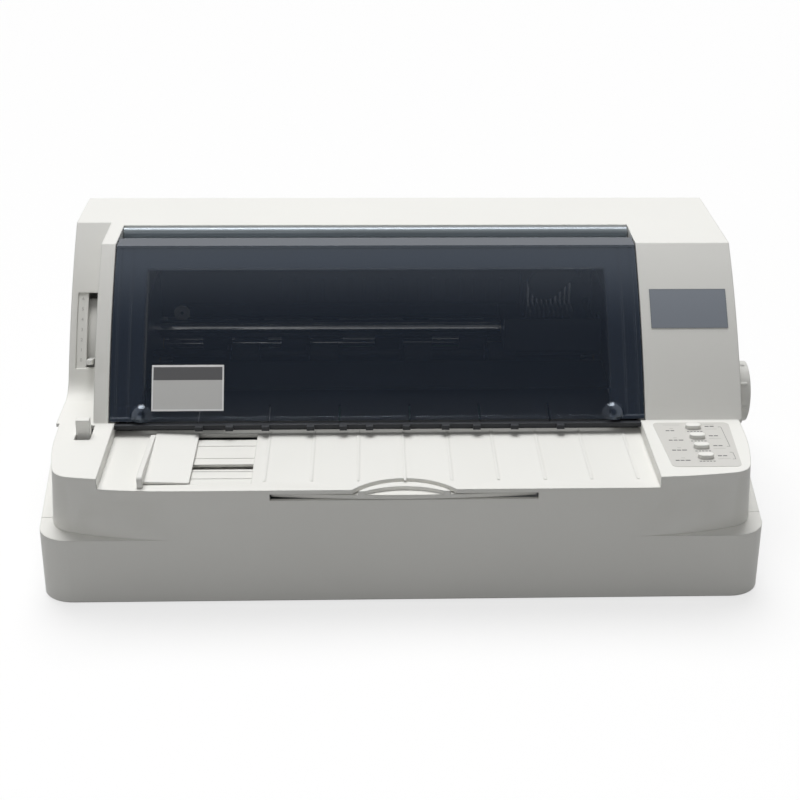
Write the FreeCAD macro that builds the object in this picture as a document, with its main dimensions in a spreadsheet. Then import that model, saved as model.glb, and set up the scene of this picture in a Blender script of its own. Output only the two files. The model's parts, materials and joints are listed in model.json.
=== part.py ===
import FreeCAD, Part
import math
import os

import Sketcher
from FreeCAD import Rotation, Vector

# A wide flatbed dot matrix printer: base case, upper case with paper table and towers, smoked
# cover on a hinge, carriage with print head, platen and feed rollers driven by gears.
# X runs to the right, -Y to the front and Z up. The origin is on the floor below the centre.

# Driving lengths in millimetres.
LENGTHS = {
    # Case outline
    "case_depth": 384,
    "rear_fitting": 2,
    "base_width": 622,
    "base_front_width": 597,
    "base_flare_run": 150,
    "base_corner": 27,
    "foot_height": 2,
    "foot_radius": 11,
    "foot_inset_x": 45,
    "foot_inset_y": 38,
    "base_top": 59.6,
    "wall": 3,
    "ledge_overlap": 8,
    "panel_split": 40,
    "seam": 0.3,
    "chassis_boss_height": 4,
    "chassis_boss_radius": 6,
    # Upper case
    "deck_top": 113.5,
    "table_drop": 9.5,
    "table_thickness": 3.6,
    "upper_width": 590,
    "upper_flare_y": 2,
    "knee_width": 582,
    "knee_setback": 72,
    "knee_radius": 300,
    "wing_start": 186,
    "wing_end": 269,
    "deck_corner": 14.5,
    "deck_wing": 7.5,
    "skirt_corner": 20,
    "skirt_wing": 13.5,
    "hood_top": 238,
    "hood_slope_run": 30,
    "hood_slope_drop": 52,
    "face_foot": 84,
    "face_top": 24,
    "recess_shift": 61,
    "recess_blend": 14,
    "left_strip": 263.5,
    "table_left": 245.5,
    "table_right": 206.5,
    "table_back": 77,
    "rib_width": 2.2,
    "rib_height": 0.35,
    "rib_setback": 16,
    "cutout_width": 84,
    "cutout_depth": 20,
    "rear_slot_low": 112,
    "rear_slot_high": 124,
    # Cover and its hinge
    "cover_left": 250,
    "cover_right": 210,
    "cover_side_gap": 0.8,
    "cover_thickness": 2.6,
    "cover_drop": 1,
    "cover_foot": 114.6,
    "cover_shoulder": 237,
    "valley_front": 42,
    "valley_depth": 7,
    "cover_lip": 1.1,
    "cover_lip_height": 2.6,
    "bead_width": 1.6,
    "bead_height": 0.6,
    "bead_inset_near": 4,
    "bead_inset_far": 14.5,
    "grip_radius": 12,
    "grip_proud": 3.6,
    "grip_inset": 27,
    "seat_drop": 6.5,
    "seat_thickness": 3,
    "bay_left": 221,
    "bay_right": 182,
    "bay_back": 14,
    "bay_widening": 60,
    "tube_radius": 5,
    "tube_y": 69.5,
    "tube_z": 233,
    "tube_gap": 1.5,
    "hinge_pin_radius": 2,
    "hinge_pin_length": 16,
    "hinge_pin_seat": 7,
    "boss_size": 12,
    "running_gap": 0.05,
    "label_left": 214.5,
    "label_right": 152.8,
    "label_low": 122,
    "label_high": 155,
    "film": 0.3,
    "film_gap": 0.2,
    "plate_left": 219.3,
    "plate_right": 287,
    "plate_low": 180,
    "plate_high": 207,
    # Frame, shafts and paper path
    "chassis_thickness": 1.6,
    "frame_thickness": 2,
    "frame_gap": 5,
    "frame_front": 37,
    "frame_back": 148,
    "frame_top": 183,
    "frame_nose": 124,
    "frame_foot": 14,
    "paper_rise": 12,
    "platen_radius": 15,
    "platen_end_gap": 14,
    "shaft_radius": 4,
    "bush_radius": 7,
    "bush_flange": 2,
    "bush_flange_radius": 9,
    "roller_radius": 9,
    "roller_y": 41,
    "roller_width": 32,
    "pinch_radius": 9.4,
    "rear_pinch_radius": 7.6,
    "pinch_width": 25,
    "pinch_shaft_radius": 3,
    "nip": 0.3,
    "gear_module": 1,
    "gear_width": 6,
    "gear_gap": 6,
    "gear_hub": 3,
    "guide_radius": 5,
    "guide_y": 59,
    "guide_z": 144,
    "slit_plate_front": 76.7,
    "slit_plate_back": 14,
    "slit_plate_step": 40,
    "slit_plate_thickness": 2.4,
    "slit_plate_dip": 0.4,
    "slit_width": 1.4,
    "slit_length": 34,
    "slit_front": 74,
    "upper_plate_front": 25,
    "upper_plate_back": 27,
    "upper_plate_low": 119.5,
    "upper_plate_high": 123,
    "upper_plate_thickness": 2.2,
    "bar_front": 88.5,
    "bar_back": 83,
    "bar_low": 109.4,
    "bar_high": 113,
    "tab_width": 6.5,
    "tab_reach": 4,
    "carrier_back": 56,
    "carrier_front": 51.2,
    "carrier_low": 118.5,
    "carrier_high": 124,
    "holder_top": 137,
    "holder_width": 26,
    "holder_arm": 3,
    # Carriage, head, ribbon and belt
    "carriage_right": 183,
    "carriage_width": 88,
    "carriage_front": 12,
    "carriage_back": 100,
    "carriage_low": 139,
    "carriage_high": 151,
    "carriage_wall": 3,
    "carriage_wall_top": 170,
    "carriage_bush_wall": 1.5,
    "carriage_bush_length": 14,
    "shoe_width": 30,
    "rail_front": 87,
    "rail_back": 99,
    "rail_top": 136,
    "rail_flange": 13,
    "sheet": 1.5,
    "head_width": 40,
    "head_front": 66,
    "head_back": 86,
    "head_top": 168,
    "nose_width": 16,
    "nose_front": 71,
    "nose_back": 81,
    "nose_gap": 1.4,
    "fin_front": 32,
    "fin_back": 64,
    "fin_low": 156,
    "fin_high": 170,
    "fin_step": 57.5,
    "fin_back_high": 187,
    "fin_thickness": 1.6,
    "fin_web": 3,
    "ribbon_low": 170,
    "ribbon_high": 186,
    "ribbon_front": 64,
    "ribbon_back": 98,
    "arm_big_radius": 15,
    "arm_small_radius": 7.5,
    "arm_run": 21,
    "arm_rise": 11,
    "arm_offset": 5,
    "arm_front": 47,
    "arm_back": 55.5,
    "arm_bridge": 6,
    "arm_centre": 190,
    "ribbon_knob_radius": 8,
    "ribbon_knob_height": 6,
    "ribbon_spindle_radius": 3,
    "belt_front": 103,
    "belt_back": 109,
    "belt_thickness": 1.2,
    "belt_z": 142,
    "belt_gap": 0.4,
    "pulley_radius": 5.5,
    "pulley_flange": 1.4,
    "pulley_flange_radius": 7.5,
    "motor_pulley_x": 166,
    "idler_pulley_x": 206,
    "rotor_radius": 1.5,
    "carriage_motor_radius": 18,
    "carriage_motor_length": 30,
    "guide_wall_front": 113,
    "guide_wall_back": 116,
    "guide_wall_low": 134,
    "guide_wall_high": 183,
    "guide_rib_low": 150,
    "guide_rib_high": 173,
    "guide_rib_pitch": 13.2,
    "guide_rib_width": 3.2,
    "guide_rib_depth": 1.8,
    "guide_rib_first": 113,
    "feed_motor_size": 42,
    "feed_motor_length": 33,
    "feed_motor_drop": 23.5,
    # Knob, levers, edge guide and tray
    "knob_radius": 27,
    "knob_rise": 6,
    "knob_thickness": 13,
    "knob_outer_x": 310,
    "knob_rib": 2,
    "knob_rib_height": 0.9,
    "knob_hub_radius": 8,
    "gap_lever_x": 275.8,
    "gap_lever_thickness": 5,
    "gap_lever_height": 8,
    "gap_lever_tip": 97,
    "gap_hub_radius": 8,
    "gap_pivot_y": 76,
    "gap_pivot_z": 113,
    "gap_pin_radius": 3,
    "window_left": 289,
    "window_right": 271.8,
    "window_low": 133,
    "window_high": 188.5,
    "window_depth": 1.2,
    "window_slot": 8,
    "feed_lever_x": 268,
    "feed_lever_width": 11.4,
    "feed_lever_depth": 7,
    "feed_lever_y": 105,
    "feed_lever_pivot": 70,
    "feed_lever_top": 127.5,
    "feed_hub_radius": 6.5,
    "feed_pin_radius": 3,
    "feed_slot_front": 116,
    "feed_slot_back": 88,
    "feed_slot_gap": 0.8,
    "ear": 3,
    "ear_gap": 0.6,
    "guide_plate_left": 209.5,
    "guide_plate_right": 173,
    "guide_plate_setback": 12,
    "guide_plate_back": 87,
    "guide_plate_height": 2.2,
    "guide_plate_edge": 0.8,
    "fence_width": 4.4,
    "fence_setback": 5.5,
    "fence_back": 93,
    "fence_height": 9.4,
    "fence_back_height": 2.6,
    "fence_nose": 3,
    "track_right": 123.5,
    "track_depth": 1.4,
    "track_slot": 9,
    "track_groove": 0.6,
    "guide_leg": 30,
    "guide_leg_depth": 7.6,
    "guide_leg_drop": 7,
    "slide_gap": 0.35,
    "tray_half": 107,
    "tray_slot_half": 108,
    "tray_low": 95.4,
    "tray_high": 99.2,
    "tray_back": 72,
    "tray_bulge": 6,
    "runner_setback": 22,
    "runner_width": 3,
    "runner_lip": 6,
    "tray_grip_top": 102.4,
    "tray_grip_gap": 3,
    "tray_scoop_radius": 64,
    "tray_scoop_depth": 8,
    # Control panel
    "button_x": 249,
    "button_width": 13,
    "button_depth": 7,
    "button_proud": 3.4,
    "button_gap": 0.4,
    "button_flange": 1.6,
    "button_stem": 2,
    "button_drop": 7.4,
    "overlay_left": 215.5,
    "overlay_right": 281,
    "overlay_front_left": 218.5,
    "overlay_front_right": 276,
    "overlay_setback": 18,
    "overlay_back": 90,
    "overlay_corner": 5,
    "panel_board_drop": 13.5,
    "panel_board_left": 222,
    "panel_board_right": 276,
    "panel_board_setback": 22,
    "panel_board_back": 94,
    "board_thickness": 1.6,
    "tact_size": 6,
    "tact_height": 4.6,
    "post_radius": 3,
    # Electronics and rear fittings
    "supply_left": 214,
    "supply_right": 96,
    "supply_front": 20,
    "supply_back": 130,
    "supply_height": 40,
    "board_left": 60,
    "board_right": 150,
    "board_front": 45,
    "board_rear_gap": 10,
    "board_rise": 5,
    "chip_height": 4,
    "inlet_inset": 29,
    "inlet_width": 53,
    "inlet_low": 16,
    "inlet_high": 44,
    "inlet_depth": 22,
    "inlet_socket_width": 24,
    "inlet_socket_height": 16,
    "rocker_width": 14,
    "rocker_height": 20,
    "rocker_depth": 5,
    "rocker_gap": 1.2,
    "rocker_pin_radius": 1.5,
    "socket_left": 90,
    "socket_right": 146,
    "usb_left": 66,
    "usb_right": 79,
    "socket_low": 17.2,
    "socket_high": 30.2,
    "screw_radius": 2,
    "screw_head_radius": 3.8,
    "screw_head": 1.6,
    "screw_inset": 24,
    "screw_height": 30,
    "overrun": 20,
}

# Counts, angles in degrees, and places as shares of the size that they follow.
FACE_TURN = 20
TABLE_RIB_COUNT = 9
TABLE_RIB_SPAN_SHARES = (-0.414, 0.93)
SLIT_COUNT = 8
SLIT_SPAN_SHARES = (-0.968, 0.935)
TAB_PLACE_SHARES = (-0.68, -0.566, -0.43, -0.26, -0.136, -0.037, 0.104, 0.252, 0.371, 0.515, 0.69)
ROLLER_PLACE_SHARES = (-0.59, -0.24, 0.18, 0.56)
HOLDER_SIDE_GAP_SHARE = 0.5
GUIDE_RIB_COUNT = 17
FIN_COUNT = 10
BUTTON_COUNT = 4
BUTTON_SPAN_SHARES = (0.75, -0.6)
TRACK_SLOT_SHARES = (-0.284, 0.914)
TRACK_GROOVE_SHARES = (-0.746, -0.471, 0.049, 0.548)
CHIP_PLACE_SHARES = (-0.5, 0.1, 0.6)
KNOB_RIB_COUNT = 8
KNOB_RIB_PHASE = 8.5
PLATEN_TEETH = 43
ROLLER_TEETH = 28
KNOB_TEETH = 28
IDLER_TEETH = 35
PINION_TEETH = 12
CORNER_ROUND_SHARE = 1.3
FLANK_SHARE = 0.3
TOOTH_SHARE = 0.6
ADDENDUM_SHARE = 0.9
DEDENDUM_SHARE = 1.25
GAP_LEVER_REST = 163

DOC = FreeCAD.newDocument("flatbed_printer")
SHEET = DOC.addObject("Spreadsheet::Sheet", "dims")
for row, (alias, number) in enumerate(LENGTHS.items(), start=1):
    SHEET.set(f"A{row}", alias)
    SHEET.set(f"B{row}", str(number))
    SHEET.setAlias(f"B{row}", alias)
DOC.recompute()

NODES = []


class Size:
    """A size that knows its value and its formula over the sheet's cells."""

    def __init__(self, value, text):
        self.value = float(value)
        self.text = text

    def __add__(self, other):
        other = size(other)
        return Size(self.value + other.value, f"({self.text} + {other.text})")

    def __sub__(self, other):
        other = size(other)
        return Size(self.value - other.value, f"({self.text} - {other.text})")

    def __mul__(self, other):
        other = size(other)
        return Size(self.value * other.value, f"({self.text} * {other.text})")

    def __truediv__(self, other):
        other = size(other)
        return Size(self.value / other.value, f"({self.text} / {other.text})")

    def __neg__(self):
        return Size(-self.value, f"(0 - {self.text})")

    def __radd__(self, other):
        return size(other) + self

    def __rsub__(self, other):
        return size(other) - self

    def __rmul__(self, other):
        return size(other) * self


def size(amount):
    """The amount itself, or a plain number as a size."""
    return amount if isinstance(amount, Size) else Size(amount, f"({amount})")


def diagonal(a, b):
    """The length of the diagonal of two sizes at right angles."""
    a, b = size(a), size(b)
    return Size(math.hypot(a.value, b.value), f"sqrt({a.text} ^ 2 + {b.text} ^ 2)")


def other_side(long, short):
    """The third side of a right triangle from its longest side and one short side."""
    long, short = size(long), size(short)
    value = math.sqrt(long.value**2 - short.value**2)
    return Size(value, f"sqrt({long.text} ^ 2 - {short.text} ^ 2)")


class Dims:
    """The sheet's cells as sizes."""

    def __init__(self):
        for name in LENGTHS:
            setattr(self, name, Size(SHEET.get(name), f"dims.{name}"))


d = Dims()


def bind(thing, path, amount):
    thing.setExpression(path, size(amount).text)


def keep(thing, label):
    """Marks a finished piece as a node of the part."""
    thing.Label = label
    NODES.append(thing)
    return thing


def block(name, x, y, z):
    """A box between the low and high places in x, y and z."""
    made = DOC.addObject("Part::Box", name)
    for axis, side, (low, high) in zip("xyz", ("Length", "Width", "Height"), (x, y, z)):
        bind(made, side, size(high) - low)
        bind(made, f"Placement.Base.{axis}", low)
    return made


AXIS_TURNS = {
    "x": Rotation(Vector(0, 1, 0), 90),
    "y": Rotation(Vector(1, 0, 0), -90),
    "z": Rotation(),
}


def rod(name, axis, radius, centre, span):
    """A cylinder along an axis; centre gives its two other coordinates in x, y, z order."""
    made = DOC.addObject("Part::Cylinder", name)
    made.Placement.Rotation = AXIS_TURNS[axis]
    low, high = span
    bind(made, "Radius", radius)
    bind(made, "Height", size(high) - low)
    bind(made, f"Placement.Base.{axis}", low)
    for other, place in zip((a for a in "xyz" if a != axis), centre):
        bind(made, f"Placement.Base.{other}", place)
    return made


def fuse(name, *things):
    made = DOC.addObject("Part::MultiFuse", name)
    made.Shapes = list(things)
    made.Refine = True
    return made


def group(name, things):
    made = DOC.addObject("Part::Compound", name)
    made.Links = list(things)
    return made


def cut(name, base, *tools):
    made = DOC.addObject("Part::Cut", name)
    made.Base = base
    made.Tool = tools[0] if len(tools) == 1 else group(f"{name}_tools", tools)
    made.Refine = False
    return made


def common(name, base, tool):
    made = DOC.addObject("Part::Common", name)
    made.Base = base
    made.Tool = tool
    return made


def tube(name, axis, outer, inner, centre, span):
    """A ring between two radii along an axis."""
    low, high = span
    bore = rod(f"{name}_bore", axis, inner, centre, (low - d.overrun, high + d.overrun))
    return cut(name, rod(f"{name}_outside", axis, outer, centre, span), bore)


def body_plane(body, role):
    return next(f for f in body.Origin.OriginFeatures if f.Role == role)


def sketch_on(body, name, plane, offset):
    """An empty sketch on one of the body's own planes, moved along the plane's normal."""
    sketch = body.newObject("Sketcher::SketchObject", name)
    sketch.AttachmentSupport = [(body_plane(body, f"{plane}_Plane"), "")]
    sketch.MapMode = "FlatFace"
    bind(sketch, "AttachmentOffset.Base.z", offset)
    return sketch


def draw_outline(sketch, corners):
    """Draws a closed outline. A corner is (x, y) or (x, y, radius of the arc to the next one).

    A positive radius bulges to the right of the way round, a negative one to the left.
    """
    count = len(corners)
    starts = []
    for index, corner in enumerate(corners):
        following = corners[(index + 1) % count]
        start = Vector(size(corner[0]).value, size(corner[1]).value, 0)
        finish = Vector(size(following[0]).value, size(following[1]).value, 0)
        if len(corner) < 3:
            sketch.addGeometry(Part.LineSegment(start, finish))
            starts.append(1)
            continue
        radius = size(corner[2]).value
        forward = radius > 0
        first, last = (start, finish) if forward else (finish, start)
        chord = last - first
        left = Vector(-chord.y, chord.x, 0).normalize()
        reach = math.sqrt(max(radius**2 - (chord.Length / 2) ** 2, 0))
        centre = (first + last) * 0.5 + left * reach
        angles = [math.atan2(p.y - centre.y, p.x - centre.x) for p in (first, last)]
        circle = Part.Circle(centre, Vector(0, 0, 1), abs(radius))
        sketch.addGeometry(Part.ArcOfCircle(circle, angles[0], angles[1]))
        starts.append(1 if forward else 2)
    for index, corner in enumerate(corners):
        after = (index + 1) % count
        sketch.addConstraint(
            Sketcher.Constraint("Coincident", index, 3 - starts[index], after, starts[after])
        )
    for index, corner in enumerate(corners):
        for kind, place in zip(("DistanceX", "DistanceY"), corner[:2]):
            place = size(place)
            rule = Sketcher.Constraint(kind, -1, 1, index, starts[index], place.value)
            bind(sketch, f"Constraints[{sketch.addConstraint(rule)}]", place)
        if len(corner) == 3:
            radius = size(corner[2])
            radius = radius if radius.value > 0 else -radius
            rule = Sketcher.Constraint("Radius", index, radius.value)
            bind(sketch, f"Constraints[{sketch.addConstraint(rule)}]", radius)


def prism(name, plane, corners, span):
    """A body with one pad: an outline on a plane (XY, XZ or YZ), padded over a span."""
    low, high = size(span[0]), size(span[1])
    body = DOC.addObject("PartDesign::Body", name)
    sketch = sketch_on(body, f"{name}_sketch", plane, -high if plane == "XZ" else low)
    draw_outline(sketch, corners)
    pad = body.newObject("PartDesign::Pad", f"{name}_pad")
    pad.Profile = sketch
    bind(pad, "Length", high - low)
    return body


def spread(span, shares):
    """Places in a span, from shares of its half length counted from its middle."""
    low, high = span
    middle, half = (low + high) / 2, (high - low) / 2
    return [middle + half * share for share in shares]


def even_shares(ends, count):
    return [ends[0] + (ends[1] - ends[0]) * i / (count - 1) for i in range(count)]


# Main planes of the case.
FRONT = -d.case_depth / 2
BACK = d.case_depth / 2
REAR = BACK - d.rear_fitting
TABLE = d.deck_top - d.table_drop
TABLE_UNDER = TABLE - d.table_thickness
PAPER = TABLE + d.paper_rise

# The curved face of the towers is part of a cylinder along X.
FACE_HALF_TAN = math.tan(math.radians(FACE_TURN / 2))
FACE_HALF_SIN = math.sin(math.radians(FACE_TURN / 2))
FACE_RUN = d.face_foot + d.face_top
FACE_RISE = d.hood_top - d.deck_top
FACE_Y = (d.face_top - d.face_foot) / 2 + FACE_RISE / (2 * FACE_HALF_TAN)
FACE_Z = (d.hood_top + d.deck_top) / 2 - FACE_RUN / (2 * FACE_HALF_TAN)
FACE_RADIUS = diagonal(FACE_RUN, FACE_RISE) / (2 * FACE_HALF_SIN)
FACE_AXIS = (FACE_Y, FACE_Z)
LEFT_FACE_AXIS = (FACE_Y + d.recess_shift, FACE_Z)
SEAT_RADIUS = FACE_RADIUS - d.seat_drop
COVER_RADIUS = FACE_RADIUS - d.cover_drop

# The groove that the cover's hinge tube turns in, at the back of the seat.
WEB_LOW = d.cover_shoulder - d.valley_depth - d.cover_thickness
SEAT_TOP = d.cover_shoulder - d.seat_drop
CHANNEL = (d.valley_front - d.cover_thickness * 2, d.tube_y + d.tube_radius + d.tube_gap)
CHANNEL_FLOOR = WEB_LOW - d.tube_gap
HOOD_FRONT = d.face_top + d.recess_shift + d.wall
HOOD_BACK = REAR - d.hood_slope_run
UPPER_FLARE = -d.upper_flare_y
KNEE = FRONT + d.knee_setback

# The mains inlet in the rear wall, measured from the case's left side.
INLET = (-d.base_width / 2 + d.inlet_inset, -d.base_width / 2 + d.inlet_inset + d.inlet_width)

# Chassis and side frames.
CHASSIS = d.foot_height + d.wall + d.chassis_boss_height
CHASSIS_TOP = CHASSIS + d.chassis_thickness
FRAME_IN_LEFT = -(d.bay_left + d.frame_gap)
FRAME_OUT_LEFT = FRAME_IN_LEFT - d.frame_thickness
FRAME_IN_RIGHT = d.bay_right + d.frame_gap
FRAME_OUT_RIGHT = FRAME_IN_RIGHT + d.frame_thickness
BETWEEN_FRAMES = (FRAME_IN_LEFT, FRAME_IN_RIGHT)

# Gears and shafts, in the Y-Z plane. Each gear sits where its pitch circle touches the last.
GEAR_SPAN = (FRAME_OUT_RIGHT + d.gear_gap, FRAME_OUT_RIGHT + d.gear_gap + d.gear_width)
ROLLER = (d.roller_y, PAPER - d.roller_radius)
PLATEN_Z = PAPER - d.platen_radius
PLATEN_RUN = other_side(
    d.gear_module * ((PLATEN_TEETH + ROLLER_TEETH) / 2), d.platen_radius - d.roller_radius
)
PLATEN = (d.roller_y + PLATEN_RUN, PLATEN_Z)
REAR_ROLLER = (d.roller_y + PLATEN_RUN * 2, PAPER - d.roller_radius)
KNOB_REACH = d.gear_module * ((ROLLER_TEETH + KNOB_TEETH) / 2 + IDLER_TEETH)
KNOB_RUN = other_side(KNOB_REACH, d.knob_rise)
KNOB = (d.roller_y - KNOB_RUN, ROLLER[1] + d.knob_rise)
IDLER_SHARE = (ROLLER_TEETH + IDLER_TEETH) / (ROLLER_TEETH + KNOB_TEETH + 2 * IDLER_TEETH)
IDLER = (d.roller_y - KNOB_RUN * IDLER_SHARE, ROLLER[1] + d.knob_rise * IDLER_SHARE)
FEED_MOTOR = (IDLER[0], IDLER[1] - d.feed_motor_drop)
PINCH = (d.roller_y, PAPER + d.nip + d.pinch_radius)
REAR_PINCH = (REAR_ROLLER[0], PAPER + d.nip + d.rear_pinch_radius)
GUIDE = (d.guide_y, d.guide_z)
GAP_PIVOT = (d.gap_pivot_y, d.gap_pivot_z)
BUSH_BORE = d.shaft_radius + d.running_gap

# The carriage and what it carries.
CARRIAGE = (d.carriage_right - d.carriage_width, d.carriage_right)
CARRIAGE_X = (CARRIAGE[0] + CARRIAGE[1]) / 2


def base_outline(inset):
    """Plan of the base case: flared sides, rounded front corners, straight front."""
    half, front_half = d.base_width / 2 - inset, d.base_front_width / 2 - inset
    front, rear = FRONT + inset, REAR - inset
    corner = d.base_corner - inset
    flare = FRONT + d.base_flare_run
    return [
        (-half, rear),
        (-half, flare),
        (-front_half, front + corner, corner),
        (-front_half + corner, front),
        (front_half - corner, front, corner),
        (front_half, front + corner),
        (half, flare),
        (half, rear),
    ]


def upper_outline(inset, corner, wing):
    """Plan of the upper case: flared sides, rounded corners, and a front swept back at both ends."""
    half, knee = d.upper_width / 2 - inset, d.knee_width / 2 - inset
    front, rear = FRONT + inset, REAR - inset
    run = d.wing_end - d.wing_start
    sweep = (run * run + wing * wing) / (wing * 2)
    side = d.wing_end + corner - inset
    turn = (corner - inset) * CORNER_ROUND_SHARE
    side_front = front + wing + corner - inset
    return [
        (-half, rear),
        (-half, UPPER_FLARE),
        (-knee, KNEE, d.knee_radius),
        (-side, side_front, turn),
        (-d.wing_end, front + wing, sweep),
        (-d.wing_start, front),
        (d.wing_start, front, sweep),
        (d.wing_end, front + wing, turn),
        (side, side_front, d.knee_radius),
        (knee, KNEE),
        (half, UPPER_FLARE),
        (half, rear),
    ]


def skirt_outline(inset):
    return upper_outline(inset, d.skirt_corner, d.skirt_wing)


def skirt(name, inset, low, high):
    """The upper case's lower part, lofted from its foot to the deck."""
    body = DOC.addObject("PartDesign::Body", name)
    foot = sketch_on(body, f"{name}_foot", "XY", low)
    draw_outline(foot, skirt_outline(inset))
    deck = sketch_on(body, f"{name}_deck", "XY", high)
    draw_outline(deck, upper_outline(inset, d.deck_corner, d.deck_wing))
    loft = body.newObject("PartDesign::AdditiveLoft", f"{name}_loft")
    loft.Profile = foot
    loft.Sections = [deck]
    loft.Ruled = True
    return body


def face_solid(name, radius, x, y, z, axis=FACE_AXIS):
    """The inside of a tower face: a box kept within the face's cylinder."""
    drum = rod(f"{name}_drum", "x", radius, axis, x)
    return common(name, block(f"{name}_box", x, y, z), drum)


def above_face(name, radius, x, y, z, axis=FACE_AXIS):
    """The outside of a tower face: a box without the face's cylinder."""
    drum = rod(f"{name}_drum", "x", radius, axis, (x[0] - d.overrun, x[1] + d.overrun))
    return cut(name, block(f"{name}_box", x, y, z), drum)


def face_sheet(name, outer, inner, x, y, z, axis=FACE_AXIS):
    """A sheet that follows the tower face between two radii."""
    ring = tube(f"{name}_ring", "x", outer, inner, axis, x)
    return common(name, block(f"{name}_box", x, y, z), ring)


def base_case():
    """The base case with its floor and bosses, and the front panel that wraps its corners."""
    floor_top = d.foot_height + d.wall
    split = FRONT + d.panel_split
    sides = (-d.base_width, d.base_width)
    outside = prism("base_outside", "XY", base_outline(0), (d.foot_height, d.base_top))
    inside = prism("base_inside", "XY", base_outline(d.wall), (0, d.base_top - d.wall))
    mouth_z = (floor_top, d.base_top + d.overrun)
    mouth = prism("base_mouth", "XY", skirt_outline(d.ledge_overlap), mouth_z)
    shell = cut("base_shell", outside, inside, mouth)
    heights = (0, d.hood_top)
    behind = block("base_behind", sides, (split + d.seam, BACK), heights)
    before = block("base_before", sides, (FRONT - d.overrun, split), heights)
    floor_z = (d.foot_height, floor_top)
    floor = prism("base_floor", "XY", base_outline(d.wall + d.seam), floor_z)
    joined = prism("base_floor_edge", "XY", base_outline(d.wall - d.seam), floor_z)
    edge = common("base_floor_rear", joined, behind)
    bosses = [
        rod(f"chassis_boss_{n}", "z", d.chassis_boss_radius, place, (floor_top, CHASSIS))
        for n, place in enumerate(chassis_corners(d.chassis_boss_radius))
    ]
    case = fuse("base_case_walls", common("base_rear_part", shell, behind), floor, edge, *bosses)
    screws = [
        rod(f"screw_hole_{n}", "y", d.screw_radius, place, (REAR - d.wall * 2, BACK))
        for n, place in enumerate(screw_places())
    ]
    inlet = block("inlet_hole", INLET, (REAR - d.wall * 2, BACK), inlet_heights())
    sockets = [
        block(f"socket_hole_{n}", x, (REAR - d.wall * 2, BACK), (d.socket_low, d.socket_high))
        for n, x in enumerate(socket_spans())
    ]
    keep(cut("base_case", case, inlet, *screws, *sockets), "bottom_case")
    keep(common("base_front_part", shell, before), "front_panel")


def chassis_corners(inset):
    """The four places where the chassis plate rests on the base case."""
    x = (FRAME_OUT_LEFT - d.frame_foot + inset, FRAME_OUT_RIGHT + d.frame_foot - inset)
    y = (-d.frame_front + inset, d.frame_back - inset)
    return [(a, b) for a in x for b in y]


def screw_places():
    x = d.base_width / 2 - d.screw_inset
    return [(place, d.screw_height) for place in (-x, INLET[1] + d.screw_inset, 0, x)]


def inlet_heights():
    return (d.inlet_low, d.inlet_high)


def socket_spans():
    return [(d.usb_left, d.usb_right), (d.socket_left, d.socket_right)]


def upper_case():
    """The upper case: skirt, decks, paper table, towers and hood, as one shell."""
    wide = (-d.upper_width / 2, d.upper_width / 2)
    inner = (wide[0] + d.wall, wide[1] - d.wall)
    high = d.hood_top + d.overrun
    front = FRONT - d.overrun
    towers = face_solid(
        "towers", FACE_RADIUS, wide, (-d.face_foot, REAR), (d.deck_top - d.wall, d.hood_top)
    )
    slope = prism(
        "hood_slope",
        "YZ",
        [(HOOD_BACK, high), (HOOD_BACK, d.hood_top), (REAR, d.hood_top - d.hood_slope_drop)]
        + [(REAR + d.overrun, d.hood_top - d.hood_slope_drop), (REAR + d.overrun, high)],
        (wide[0] - d.overrun, wide[1] + d.overrun),
    )
    solid = fuse("upper_solid", skirt("skirt", 0, d.base_top, d.deck_top), cut("hood", towers, slope))
    boss_y = (d.tube_y - d.boss_size / 2, d.tube_y + d.boss_size / 2)
    pocket_x = (-d.cover_left - d.cover_side_gap, d.cover_right + d.cover_side_gap)
    cuts = [
        above_face("cover_pocket", SEAT_RADIUS, pocket_x, (-d.face_foot, CHANNEL[0]), (TABLE, high)),
        block("shoulder_pocket", pocket_x, (d.bay_back, CHANNEL[1]), (SEAT_TOP, high)),
        block("tube_channel", pocket_x, CHANNEL, (CHANNEL_FLOOR, high)),
        block("bay", (-d.bay_left, d.bay_right), (-d.table_back, d.bay_back), (d.base_top, high)),
        block(
            "bay_front",
            (-d.table_left, d.table_right),
            (-d.table_back, -d.bay_widening),
            (TABLE_UNDER, high),
        ),
        block("table_recess", (-d.table_left, d.table_right), (front, -d.table_back), (TABLE, high)),
        left_recess(front, high),
        skirt("skirt_hollow", d.wall, d.base_top - d.wall, TABLE_UNDER),
        deck_hollows(wide),
        *tower_hollows(inner),
        *table_cuts(),
        *deck_cuts(),
        block("rear_slot", (-d.bay_left, d.bay_right), (REAR - d.wall * 2, BACK), rear_slot_heights()),
        rod("knob_hole", "x", BUSH_BORE, KNOB, (0, d.upper_width)),
    ]
    shell = cut("upper_shell", solid, *cuts)
    top = (d.tube_z - d.boss_size / 2, d.hood_top)
    bosses = [
        block("pin_boss_left", (pocket_x[0] - d.boss_size, pocket_x[0]), boss_y, top),
        block("pin_boss_right", (pocket_x[1], pocket_x[1] + d.boss_size), boss_y, top),
    ]
    ears = feed_lever_ears()
    extras = [*bosses, *ears, *table_ribs(), *panel_posts(), *tray_runners()]
    whole = fuse("upper_whole", shell, *extras)
    pins = [rod(f"pin_seat_{n}", "x", d.hinge_pin_radius, tube_axis(), x) for n, x in pin_spans()]
    keep(cut("upper_case_shape", whole, *pins), "upper_case")


def rear_slot_heights():
    return (d.rear_slot_low, d.rear_slot_high)


def tube_axis():
    return (d.tube_y, d.tube_z)


def pin_spans():
    """The two hinge pins, each half in the case and half in the cover's tube."""
    left, right = -d.cover_left - d.cover_side_gap, d.cover_right + d.cover_side_gap
    seat, free = d.hinge_pin_seat, d.hinge_pin_length - d.hinge_pin_seat
    return [("left", (left - seat, left + free)), ("right", (right - free, right + seat))]


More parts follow.
